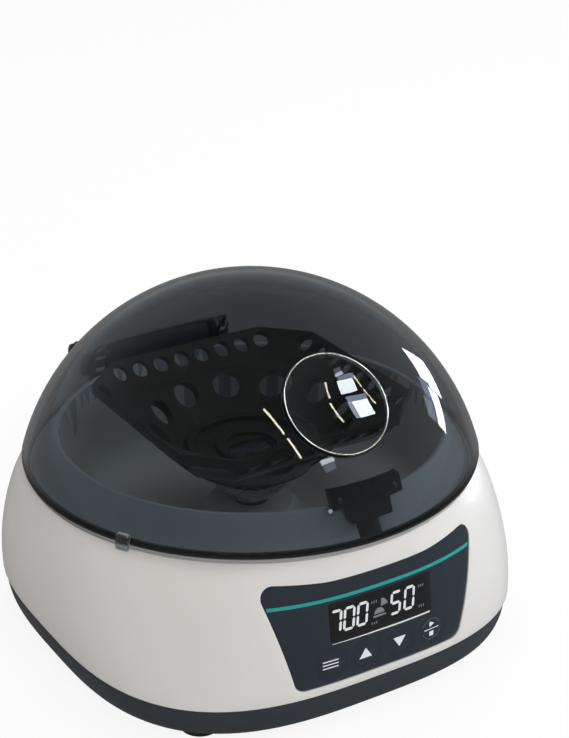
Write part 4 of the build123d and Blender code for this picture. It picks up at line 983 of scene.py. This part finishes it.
@dataclass
class DomeLid:
    """Smoked dome with its dimple, rear notch and hinge lugs."""

    radius: float = DOME_R
    wall: float = 2.5
    dimple_rim: float = 19.1
    dimple_ball: float = 45.0
    dimple_round: float = 0.7
    tilt: float = 41.9
    edge_height: float = 3.4
    notch_half: float = 26.3
    notch_height: float = 21.5
    notch_y: tuple = (40.0, 100.0)
    lug_out: float = 30.5
    hinge: tuple = (83.0, 13.5)
    knuckle: float = 6.1
    knuckle_turn: tuple = (115.0, 215.0)
    knuckle_steps: int = 24
    # Section radius and sinking of the painted highlight ring round the dimple's rim.
    bead: float = 0.34
    highlight_ring_sunk: float = 0.3
    segments: int = 144
    hollow_rings: int = 14
    round_rings: int = 8
    ball_rings: int = 74
    ball_step: float = 1.9
    small: dict = field(default_factory=lambda: {
        "lid_gasket": (RUBBER, 0.15), "lid_tab": (CLEAR_TAB, 0.2), "latch_hook": (LATCH_BLACK, 0.25),
    })

    @property
    def ball_far(self) -> float:
        """Distance between the centres of the dome's sphere and of the dimple's ball."""
        return math.sqrt(self.radius**2 - self.dimple_rim**2) + math.sqrt(self.dimple_ball**2 - self.dimple_rim**2)

    @property
    def leaning(self) -> Matrix:
        """Turn and place of what is made upright round the dimple's axis."""
        return Matrix.Translation((0, 0, DOME_Z * MM)) @ Matrix.Rotation(math.radians(self.tilt), 4, "X")

    def skin(self, inset: float) -> bmesh.types.BMesh:
        """One surface of the dome as rings about the dimple's axis, cut at the lower edge.

        Args:
            inset: How far the surface lies inside the outer one, in millimetres.

        Returns:
            The surface, open at its lower edge.
        """
        ball = self.radius - inset
        hollow = self.dimple_ball + inset
        far = self.ball_far
        inner_arm, outer_arm = ball - self.dimple_round, hollow + self.dimple_round
        corner = math.acos((far**2 + inner_arm**2 - outer_arm**2) / (2 * far * inner_arm))
        bead = Vector((inner_arm * math.sin(corner), inner_arm * math.cos(corner)))
        from_hollow = math.atan2(bead.x, far - bead.y)
        profile = []
        for i in range(1, self.hollow_rings + 1):
            lean = from_hollow * i / self.hollow_rings
            profile.append((hollow * math.sin(lean), far - hollow * math.cos(lean)))
        first, last = -from_hollow, corner
        for i in range(1, self.round_rings + 1):
            lean = first + (last - first) * i / self.round_rings
            profile.append((bead.x + self.dimple_round * math.sin(lean), bead.y + self.dimple_round * math.cos(lean)))
        for i in range(1, self.ball_rings + 1):
            lean = corner + math.radians(self.ball_step) * i
            profile.append((ball * math.sin(lean), ball * math.cos(lean)))
        bm = bmesh.new()
        pole = bm.verts.new((0, 0, (far - hollow) * MM))
        rings = []
        for flat, rise in profile:
            ring = []
            for i in range(self.segments):
                turn = 2 * math.pi * i / self.segments
                ring.append(bm.verts.new((flat * math.cos(turn) * MM, flat * math.sin(turn) * MM, rise * MM)))
            rings.append(ring)
        for i in range(self.segments):
            bm.faces.new((pole, rings[0][i], rings[0][(i + 1) % self.segments]))
        for low, high in zip(rings, rings[1:]):
            for i in range(self.segments):
                j = (i + 1) % self.segments
                bm.faces.new((low[i], high[i], high[j], low[j]))
        bmesh.ops.transform(bm, matrix=self.leaning, verts=bm.verts)
        cut = (RIM_Z + self.edge_height) * MM
        geometry = [*bm.verts, *bm.edges, *bm.faces]
        bmesh.ops.bisect_plane(
            bm, geom=geometry, dist=TINY, plane_co=(0, 0, cut), plane_no=(0, 0, 1), clear_inner=True)
        return bm

    def lug(self, x0: float, x1: float) -> bpy.types.Object:
        """One hinge lug: a round knuckle with an arm that reaches into the dome's wall.

        Args:
            x0: Where it begins.
            x1: Where it ends.

        Returns:
            The lug.
        """
        y, z = self.hinge[0], RIM_Z + self.hinge[1]
        start, sweep = self.knuckle_turn
        outline = []
        for i in range(self.knuckle_steps + 1):
            turn = math.radians(start - sweep * i / self.knuckle_steps)
            outline.append((y + self.knuckle * math.cos(turn), z + self.knuckle * math.sin(turn)))
        outline += [(y - 11.0, RIM_Z + self.edge_height + 1.0), (y - 14.5, z + 6.0), (y - 12.0, z + 11.5)]
        return Mesher.prism_x("lug", outline, x0, x1)

    def dome(self) -> bpy.types.Object:
        """Make the closed dome wall.

        Returns:
            The dome object.
        """
        outer, inner = self.skin(0.0), self.skin(self.wall)
        bmesh.ops.reverse_faces(inner, faces=inner.faces)
        part = bpy.data.meshes.new("inner")
        inner.to_mesh(part)
        inner.free()
        outer.from_mesh(part)
        bpy.data.meshes.remove(part)
        open_edges = [edge for edge in outer.edges if edge.is_boundary]
        bmesh.ops.bridge_loops(outer, edges=open_edges)
        made = Mesher.from_bmesh("smoked_dome", outer)
        half, (near, far) = self.notch_half, self.notch_y
        Mesher.cut(made, Mesher.box("notch", (-half, near, RIM_Z), (half, far, RIM_Z + self.notch_height)))
        for x0, x1 in ((-self.lug_out, -half), (half, self.lug_out)):
            Mesher.cut(made, self.lug(x0, x1), "UNION")
        Mesher.smooth(made, 24)
        return made

    def rim_highlight_ring(self) -> bpy.types.Object:
        """Painted highlight: a light, metal-like ring round the dimple's rim, sunk half into the dome, that stands for
        the bright highlight along the rim.

        Returns:
            The painted highlight ring.
        """
        lean = math.asin(self.dimple_rim / self.radius)
        rise = self.radius * math.cos(lean) - self.highlight_ring_sunk
        turns = [math.radians(turn) for turn in range(0, 360, 36)]
        outline = [(self.dimple_rim + self.bead * math.cos(t), rise + self.bead * math.sin(t)) for t in turns]
        made = Mesher.revolve("dimple_rim_highlight", outline, 128)
        made.data.transform(self.leaning)
        Mesher.smooth(made, 180)
        return made

    def build(self) -> None:
        """Make every piece of the lid."""
        dress(self.dome(), SMOKED, Body.LID, "lid_dome")
        # The ring round the dimple's rim is a painted highlight.
        dress(self.rim_highlight_ring(), RIM_PAINTED_HIGHLIGHT, Body.LID)
        for node, (finish, width) in self.small.items():
            carried(node, finish, Body.LID, width)
        ScrewSet("latch_screws", Body.LID, 3.4, 1.2, 1.6, 3.8).build()


def carried(node: str, finish: SlotFinish, body: Body, width: float = 0.2, angle: float = 38.0,
            sectors: int = 1) -> bpy.types.Object:
    """Make a rounded, smoothed copy of a CAD node that stands for it.

    Args:
        node: Name of the CAD node.
        finish: Finish of the copy.
        body: Body it rides on.
        width: Width of the edge rounding in millimetres, 0 for none.
        angle: Smallest edge angle that is rounded, in degrees.
        sectors: Number of sectors round Z in which flat faces are joined.

    Returns:
        The piece.
    """
    piece = cad_copy(node, node + "_dressed", sectors)
    if width:
        Mesher.bevel(piece, width * MM, angle)
    Mesher.smooth(piece, 30)
    return dress(piece, finish, body, node)


def part_finish(piece: bpy.types.Object, finish: SlotFinish, test: Callable[[Vector], bool]) -> None:
    """Give some faces of a dressed piece another finish.

    Args:
        piece: Dressed piece.
        finish: Finish of those faces.
        test: Tells from a face's centre in metres whether it is one of them.
    """
    piece.data.materials.append(finish.material())
    for face in piece.data.polygons:
        if test(face.center):
            face.material_index = 1


# --------------------------------------------------------------------------- screws


SHANK_SIDES, HEAD_SIDES = 24, 32
HEAD_OVERLAP = 0.02  # how far a head and its shank reach into each other
SOCKET_R = 0.42  # radius of the hexagon socket over the shank's diameter
SOCKET_DEEP = 1.2  # height of the tool that cuts it over the head's height, half of it in the head
SEAT_SHARE = 0.46  # points further from a screw's axis than this share of its head's diameter are the head's


def screw_tree() -> bpy.types.NodeTree:
    """Make the geometry node tree that puts one pan-head screw on every point.

    Returns:
        The tree with named inputs for the screw's sizes and its material.
    """
    tree = bpy.data.node_groups.new("screw_set", "GeometryNodeTree")
    tree.interface.new_socket(name="Places", in_out="INPUT", socket_type="NodeSocketGeometry")
    for label in ("Head Diameter", "Head Height", "Shank Diameter", "Shank Length"):
        tree.interface.new_socket(name=label, in_out="INPUT", socket_type="NodeSocketFloat")
    tree.interface.new_socket(name="Material", in_out="INPUT", socket_type="NodeSocketMaterial")
    tree.interface.new_socket(name="Screws", in_out="OUTPUT", socket_type="NodeSocketGeometry")
    nodes, link = tree.nodes, tree.links.new
    given, result = nodes.new("NodeGroupInput"), nodes.new("NodeGroupOutput")

    def scaled(socket: bpy.types.NodeSocket, factor: float) -> bpy.types.NodeSocket:
        """Multiply a socket's value.

        Args:
            socket: Socket with the value.
            factor: Number to multiply it with.

        Returns:
            Socket with the product.
        """
        step = nodes.new("ShaderNodeMath")
        step.operation = "MULTIPLY"
        step.inputs[1].default_value = factor
        link(socket, step.inputs[0])
        return step.outputs["Value"]

    def rod(count: int, radius: bpy.types.NodeSocket, depth: bpy.types.NodeSocket,
            rise: bpy.types.NodeSocket) -> bpy.types.NodeSocket:
        """Make an upright rod.

        Args:
            count: Number of sides.
            radius: Socket with its radius.
            depth: Socket with its length.
            rise: Socket with the height of its middle.

        Returns:
            Socket with the rod.
        """
        made = feed(nodes.new("GeometryNodeMeshCylinder"), Vertices=count)
        link(radius, made.inputs["Radius"])
        link(depth, made.inputs["Depth"])
        place = nodes.new("ShaderNodeCombineXYZ")
        link(rise, place.inputs["Z"])
        move = nodes.new("GeometryNodeTransform")
        link(made.outputs["Mesh"], move.inputs["Geometry"])
        link(place.outputs["Vector"], move.inputs["Translation"])
        return move.outputs["Geometry"]

    head_h, length = given.outputs["Head Height"], given.outputs["Shank Length"]
    shank = rod(SHANK_SIDES, scaled(given.outputs["Shank Diameter"], 0.5), length, scaled(length, 0.5))
    reach = nodes.new("ShaderNodeMath")
    reach.operation = "ADD"
    reach.inputs[1].default_value = HEAD_OVERLAP * MM
    link(head_h, reach.inputs[0])
    head = rod(HEAD_SIDES, scaled(given.outputs["Head Diameter"], 0.5), reach.outputs["Value"], scaled(head_h, -0.5))
    socket = rod(6, scaled(given.outputs["Shank Diameter"], SOCKET_R), scaled(head_h, SOCKET_DEEP),
                 scaled(head_h, -1.0))
    joined = nodes.new("GeometryNodeMeshBoolean")
    joined.operation = "UNION"
    link(shank, joined.inputs["Mesh 2"])
    link(head, joined.inputs["Mesh 2"])
    driven = nodes.new("GeometryNodeMeshBoolean")
    driven.operation = "DIFFERENCE"
    link(joined.outputs["Mesh"], driven.inputs["Mesh 1"])
    link(socket, driven.inputs["Mesh 2"])
    turn = feed(nodes.new("GeometryNodeInputNamedAttribute"), Name="turn")
    turn.data_type = "FLOAT_VECTOR"
    rotation = nodes.new("FunctionNodeEulerToRotation")
    link(turn.outputs["Attribute"], rotation.inputs["Euler"])
    spread = nodes.new("GeometryNodeInstanceOnPoints")
    link(given.outputs["Places"], spread.inputs["Points"])
    link(driven.outputs["Mesh"], spread.inputs["Instance"])
    link(rotation.outputs["Rotation"], spread.inputs["Rotation"])
    real = nodes.new("GeometryNodeRealizeInstances")
    link(spread.outputs["Instances"], real.inputs["Geometry"])
    coat = nodes.new("GeometryNodeSetMaterial")
    link(real.outputs["Geometry"], coat.inputs["Geometry"])
    link(given.outputs["Material"], coat.inputs["Material"])
    link(coat.outputs["Geometry"], result.inputs["Screws"])
    return tree


@dataclass
class ScrewSet:
    """Equal screws at the places and in the directions of one CAD node's screws."""

    node: str
    body: Body
    head_d: float
    head_h: float
    shank_d: float
    length: float

    def places(self) -> list:
        """Seat and direction of every screw of the CAD node.

        Returns:
            Pairs of seat point and unit direction from head to tip, in metres.
        """
        bm = bmesh.new()
        bm.from_mesh(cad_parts[self.node].data)
        bmesh.ops.remove_doubles(bm, verts=bm.verts, dist=WELD)
        seen, found = set(), []
        for first in bm.verts:
            if first in seen:
                continue
            seen.add(first)
            island, queue = [], [first]
            while queue:
                vert = queue.pop()
                island.append(vert.co.copy())
                for edge in vert.link_edges:
                    other = edge.other_vert(vert)
                    if other not in seen:
                        seen.add(other)
                        queue.append(other)
            low = Vector([min(point[i] for point in island) for i in range(3)])
            high = Vector([max(point[i] for point in island) for i in range(3)])
            axis = max(range(3), key=lambda i: high[i] - low[i])
            middle = (low + high) / 2
            flat = [i for i in range(3) if i != axis]
            wide = [p for p in island
                    if math.hypot(*(p[i] - middle[i] for i in flat)) > SEAT_SHARE * self.head_d * MM]
            sign = 1.0 if sum(p[axis] for p in wide) / len(wide) < middle[axis] else -1.0
            way = Vector((0, 0, 0))
            way[axis] = sign
            seat = middle.copy()
            seat[axis] = (low[axis] if sign > 0 else high[axis]) + sign * self.head_h * MM
            found.append((seat, way))
        bm.free()
        return found

    def build(self) -> bpy.types.Object:
        """Make the screws as one plain mesh that stands for the CAD node.

        Returns:
            The piece.
        """
        places = self.places()
        mesh = bpy.data.meshes.new(self.node + "_places")
        mesh.from_pydata([tuple(seat) for seat, _ in places], [], [])
        up = Vector((0, 0, 1))
        turn = mesh.attributes.new("turn", "FLOAT_VECTOR", "POINT")
        turn.data.foreach_set("vector", [part for _, way in places for part in up.rotation_difference(way).to_euler()])
        piece = Mesher.new_object(self.node + "_dressed", mesh)
        made = piece.modifiers.new("screws", "NODES")
        made.node_group = bpy.data.node_groups.get("screw_set") or screw_tree()
        values = {
            "Head Diameter": self.head_d * MM, "Head Height": self.head_h * MM,
            "Shank Diameter": self.shank_d * MM, "Shank Length": self.length * MM, "Material": STEEL.material(),
        }
        for item in made.node_group.interface.items_tree:
            if item.item_type == "SOCKET" and item.in_out == "INPUT" and item.name in values:
                made[item.identifier] = values[item.name]
        Mesher.bake_modifiers(piece)
        Mesher.bevel(piece, 0.12 * MM, 50)
        Mesher.smooth(piece, 30)
        return dress(piece, STEEL, self.body, self.node)


# --------------------------------------------------------------------------- housing


@dataclass
class Housing:
    """Shell, tray, bowl, hinge block and what is inside and under them."""

    # Faces of the shell above this height, the step ring under the dome's edge, get the painted shade.
    painted_shade_z: float = RIM_Z + 0.05
    # Faces of the bowl nearer the axis than inside_r and lower than inside_z get the painted light.
    inside_r: float = 69.5
    inside_z: float = RIM_Z + 1.0
    bowl_sectors: int = 8
    plain: dict = field(default_factory=lambda: {
        "hinge_block": (BLACK_SATIN, 0.3), "hinge_pin": (BLACK_SATIN, 0.4),
        "lcd_module": (DISPLAY, 0.2), "display_board": (BOARD, 0.1), "key_switches": (BLACK_SATIN, 0.2),
        "status_light": (LAMP, 0.15), "lock_solenoid": (MOTOR, 0.3), "lid_switch": (BLACK_SATIN, 0.3),
        "motor_can": (MOTOR, 0.3), "motor_bearings": (STEEL, 0.1), "motor_coils": (COPPER, 0.3),
        "motor_plate": (STEEL, 0.1), "motor_dampers": (RUBBER, 0.2), "shaft_seal": (RUBBER, 0.15),
        "power_board": (BOARD, 0.1), "driver_board": (BOARD, 0.1), "board_parts": (BLACK_SATIN, 0.3),
        "board_screws": (STEEL, 0.1), "power_inlet": (BLACK_SATIN, 0.3), "inlet_blades": (BRASS, 0.15),
        "switch_frame": (BLACK_SATIN, 0.2), "cord_connector": (LEAD, 0.6), "connector_sleeve": (LEAD, 0.3),
        "plug_sleeve": (LEAD, 0.3), "plug_body": (LEAD, 0.5), "plug_pins": (STEEL, 0.2),
        "foot_front_left": (RUBBER, 0.3), "foot_front_right": (RUBBER, 0.3),
        "foot_rear_left": (RUBBER, 0.3), "foot_rear_right": (RUBBER, 0.3),
    })
    screws: dict = field(default_factory=lambda: {
        "hinge_screws": (4.4, 1.8, 2.5, 14.5), "body_screws": (5.8, 2.0, 3.0, 14.0),
        "deck_screws": (4.0, 1.6, 2.5, 4.2), "motor_screws": (5.6, 2.0, 3.0, 6.9),
    })

    def build(self) -> None:
        """Make the housing's pieces."""
        shell = carried("upper_shell", WHITE_SHELL, Body.HOUSING, 0.6, 50)
        # Painted shade: the shell's step ring under the dome's edge gets a grey that stands for the dome's shadow.
        part_finish(shell, STEP_PAINTED_SHADE, lambda spot: spot.z > self.painted_shade_z * MM)
        carried("base_tray", SLATE, Body.HOUSING, 0.4, 50)
        bowl = carried("chamber_bowl", BOWL_GREY, Body.HOUSING, 0.3, 45, self.bowl_sectors)
        # Painted light: the bowl's faces inside its inner radius and below the rim get the lighter grey.
        part_finish(
            bowl, BOWL_PAINTED_LIGHT, lambda spot: spot.xy.length < self.inside_r * MM and spot.z < self.inside_z * MM)
        for node, (finish, width) in self.plain.items():
            carried(node, finish, Body.HOUSING, width)
        for node, sizes in self.screws.items():
            ScrewSet(node, Body.HOUSING, *sizes).build()


# --------------------------------------------------------------------------- rotor and drive


@dataclass
class RotorDrive:
    """Rotor, hub, shaft and magnet."""

    def build(self) -> None:
        """Make the turning pieces."""
        carried("rotor", ROTOR_BLACK, Body.ROTOR, 0.35, 30)
        carried("drive_hub", HUB, Body.DRIVE, 0.25)
        carried("motor_shaft", STEEL, Body.DRIVE, 0.2)
        carried("motor_magnet", MAGNET, Body.DRIVE, 0.2)


# --------------------------------------------------------------------------- control panel


def arc(x: float, z: float, radius: float, turns: Iterable[float]) -> list:
    """Points on a circle.

    Args:
        x: Centre's X.
        z: Centre's height.
        radius: Radius of the circle.
        turns: Angle of every point in degrees.

    Returns:
        Points in (x, z).
    """
    return [(x + radius * math.cos(math.radians(t)), z + radius * math.sin(math.radians(t))) for t in turns]


def rectangle(x0: float, z0: float, x1: float, z1: float) -> list:
    """Outline between two corners in (x, z)."""
    return [(x0, z0), (x1, z0), (x1, z1), (x0, z1)]


@dataclass
class FrontPanel:
    """Foil panel with display, keys and printed marks; heights count from the housing's top edge."""

    key_height: float = -38.4
    key_x: tuple = (-21.2, -7.1, 7.1, 21.2)
    key_gap: tuple = (5.9, 5.2)
    start_ring: tuple = (4.1, 4.0)
    print_lift: float = 0.05
    print_thick: float = 0.09
    print_start: float = -0.2
    foil_y: float = -0.087
    segments: dict = field(default_factory=lambda: {"7": "abc", "0": "abcdef", "5": "acdfg"})
    figure_places: tuple = ((-21.4, "7"), (-16.2, "0"), (-10.9, "0"), (2.9, "5"), (8.7, "0"))
    figure_foot: float = -27.2
    figure_wide: float = 4.6
    figure_tall: float = 8.7
    stroke: float = 0.95
    figure_lean: float = 0.13
    unit_places: tuple = ((-4.3, -20.3), (-4.6, -28.2), (15.6, -20.4), (15.5, -28.0))
    unit_step: float = 0.95
    unit_tall: float = 0.9
    # Size and taper of the painted highlight line under the display window.
    line_half: float = 20.4
    line_height: float = -30.8
    line_parts: int = 24
    line_swell: int = 14
    line_thin: float = 0.14
    line_thick: float = 0.54

    @staticmethod
    def surface(*nodes: str) -> BVHTree:
        """Make a search tree, to lay prints on the faces of CAD nodes.

        Args:
            nodes: Names of the CAD nodes.

        Returns:
            The tree over all of them.
        """
        bm = bmesh.new()
        for node in nodes:
            bm.from_mesh(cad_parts[node].data)
        tree = BVHTree.FromBMesh(bm)
        bm.free()
        return tree

    def decal(self, name: str, outlines: Iterable[Sequence[tuple]], on: BVHTree) -> bpy.types.Object:
        """Thin raised print from closed outlines in (x, height over the rim), sunk nearly half into a surface.

        Args:
            name: Name of the piece.
            outlines: Closed outlines in millimetres.
            on: Surface that carries the print.

        Returns:
            The print's object.
        """
        bm = bmesh.new()
        for outline in outlines:
            front, back = [], []
            for x, height in outline:
                start = Vector((x * MM, self.print_start, (RIM_Z + height) * MM))
                hit = on.ray_cast(start, Vector((0, 1, 0)))[0]
                y = hit.y if hit is not None else self.foil_y
                front.append(bm.verts.new((start.x, y - self.print_lift * MM, start.z)))
                back.append(bm.verts.new((start.x, y + (self.print_thick - self.print_lift) * MM, start.z)))
            count = len(outline)
            bm.faces.new(front)
            bm.faces.new(list(reversed(back)))
            for i in range(count):
                j = (i + 1) % count
                bm.faces.new((front[i], back[i], back[j], front[j]))
        bmesh.ops.recalc_face_normals(bm, faces=bm.faces)
        return Mesher.from_bmesh(name, bm)

    def figure_outlines(self, pattern: str, x: float) -> list:
        """Outlines of one seven-segment figure.

        Args:
            pattern: Letters a to g of the lit segments.
            x: Left edge at the foot of the figure.

        Returns:
            Closed outlines in (x, z).
        """
        gap, half = self.stroke * 0.16, self.stroke / 2
        left, right = half, self.figure_wide - half
        low, middle, top = half, self.figure_tall / 2, self.figure_tall - half

        def bar(level: float) -> list:
            """Outline of a level segment.

            Args:
                level: Height of its middle.

            Returns:
                Points in (x, z).
            """
            x0, x1 = left + gap, right - gap
            return [(x0, level), (x0 + half, level + half), (x1 - half, level + half),
                    (x1, level), (x1 - half, level - half), (x0 + half, level - half)]

        def post(z0: float, z1: float, side: float) -> list:
            """Outline of an upright segment.

            Args:
                z0: Height where it begins.
                z1: Height where it ends.
                side: X of its middle.

            Returns:
                Points in (x, z).
            """
            z0, z1 = z0 + gap, z1 - gap
            return [(side, z0), (side + half, z0 + half), (side + half, z1 - half),
                    (side, z1), (side - half, z1 - half), (side - half, z0 + half)]

        shapes = {
            "a": bar(top), "g": bar(middle), "d": bar(low), "f": post(middle, top, left),
            "b": post(middle, top, right), "e": post(low, middle, left), "c": post(low, middle, right),
        }
        return [[(x + px + self.figure_lean * pz, self.figure_foot + pz) for px, pz in shapes[letter]]
                for letter in pattern]

    def figures(self, on: BVHTree) -> bpy.types.Object:
        """Make the lit figures of the display: a speed and a time.

        Args:
            on: Surface of the display.

        Returns:
            The print's object.
        """
        shapes = []
        for x, sign in self.figure_places:
            shapes += self.figure_outlines(self.segments[sign], x)
        return self.decal("display_figures", shapes, on)

    def small_marks(self, on: BVHTree) -> bpy.types.Object:
        """Make the dim lid picture and unit marks of the display.

        Args:
            on: Surface of the display.

        Returns:
            The print's object.
        """
        lid, foot = arc(-1.2, -24.6, 2.1, range(0, 181, 15)), rectangle(-3.7, -25.8, 1.4, -25.1)
        fan = [(-0.4, -22.2), *arc(-0.4, -22.2, 2.9, range(10, 86, 15))]
        shapes = [lid, foot, fan]
        for x, z in self.unit_places:
            for k in range(3):
                left, top = x + k * self.unit_step, z + self.unit_tall
                shapes.append([(left, z), (left + 0.35, z), (left + 0.45, top), (left + 0.1, top)])
        return self.decal("display_marks", shapes, on)

    def window_painted_highlight(self, on: BVHTree) -> bpy.types.Object:
        """Make the painted highlight under the display: a thin light line, standing for the light caught by the
        window's lower edge, that grows thicker from its left end.

        Args:
            on: Surface of the foil.

        Returns:
            The print's object.
        """
        count, top = self.line_parts, self.line_height
        steps = [-self.line_half + 2 * self.line_half * i / count for i in range(count + 1)]
        swell = self.line_thick - self.line_thin
        low = [top - (self.line_thin + swell * min(1.0, i / self.line_swell)) for i in range(count + 1)]
        line = [[(steps[i], top), (steps[i], low[i]), (steps[i + 1], low[i + 1]), (steps[i + 1], top)]
                for i in range(count)]
        return self.decal("window_painted_highlight", line, on)

    @staticmethod
    def ring_outline(x: float, z: float, outer: float, inner: float, start: float, stop: float) -> list:
        """Closed outline of a part of a ring.

        Args:
            x: Centre's X.
            z: Centre's height.
            outer: Outer radius.
            inner: Inner radius.
            start: Angle of one end in degrees.
            stop: Angle of the other end.

        Returns:
            Points in (x, z).
        """
        steps = 20
        turns = [start + (stop - start) * i / steps for i in range(steps + 1)]
        return arc(x, z, outer, turns) + arc(x, z, inner, reversed(turns))

    def key_marks(self) -> None:
        """Printed marks on the four keys."""
        z = self.key_height
        marks = {
            "menu_key": [rectangle(-3.1, low, 3.1, low + 0.42) for low in (-1.5, -0.2, 1.1)],
            "up_key": [[(-2.6, -1.8), (2.6, -1.8), (0.0, 2.1)]],
            "down_key": [[(-2.6, 1.8), (0.0, -2.1), (2.6, 1.8)]],
            "start_stop_key": [rectangle(-3.2, -0.16, 3.2, 0.16), [(-0.9, 0.9), (1.2, 2.0), (-0.9, 3.1)],
                               rectangle(-0.9, -2.8, 0.9, -1.0)],
        }
        for (node, body), x in zip(KEYS.items(), self.key_x):
            on = self.surface(node)
            placed = [[(x + px, z + pz) for px, pz in shape] for shape in marks[node]]
            if body is Body.START:
                ring = [self.ring_outline(x, z, *self.start_ring, start, start + 140) for start in (20, 200)]
                dress(self.decal("start_ring", ring, on), DIM_MARK, body)
            # The key prints carry a faint painted glow.
            dress(self.decal(node + "_mark", placed, on), PRINT_AND_PAINTED_HIGHLIGHT, body)

    def build(self) -> None:
        """Make panel, window, the painted highlight line under it, keys and prints."""
        carried("control_panel", PANEL, Body.HOUSING, 0.06, 60)
        carried("panel_stripe", TEAL, Body.HOUSING, 0)
        carried("display_window", DISPLAY, Body.HOUSING, 0.12, 60)
        window, foil = self.surface("display_window"), self.surface("control_panel")
        dress(self.figures(window), DIGIT, Body.HOUSING)
        dress(self.small_marks(window), DIM_MARK, Body.HOUSING)
        # Painted highlight: the light line along the display window's lower edge.
        dress(self.window_painted_highlight(foil), PRINT_AND_PAINTED_HIGHLIGHT, Body.HOUSING)
        for node, body in KEYS.items():
            carried(node, KEY, body, 0.06, 60)
        self.key_marks()
        both = self.surface("control_panel", *KEYS)
        rings = [self.ring_outline(x, self.key_height, *self.key_gap, start, start + 119.9)
                 for x in self.key_x for start in (0, 120, 240)]
        dress(self.decal("key_rings", rings, both), PANEL, Body.HOUSING)
        carried("power_rocker", BLACK_SATIN, Body.ROCKER, 0.3)
        carried("lock_bolt", STEEL, Body.BOLT, 0.2)


def main() -> None:
    """Build the scene in order: camera, lead, then the object and the studio."""
    logging.basicConfig(level=logging.INFO, format="%(message)s")
    Viewpoint().build()
    Lead().build()
    DomeLid().build()
    Housing().build()
    RotorDrive().build()
    FrontPanel().build()
    Studio().build()
    bpy.context.scene.view_settings.view_transform = "Standard"
    bpy.context.view_layer.update()


if __name__ == "__main__":
    main()
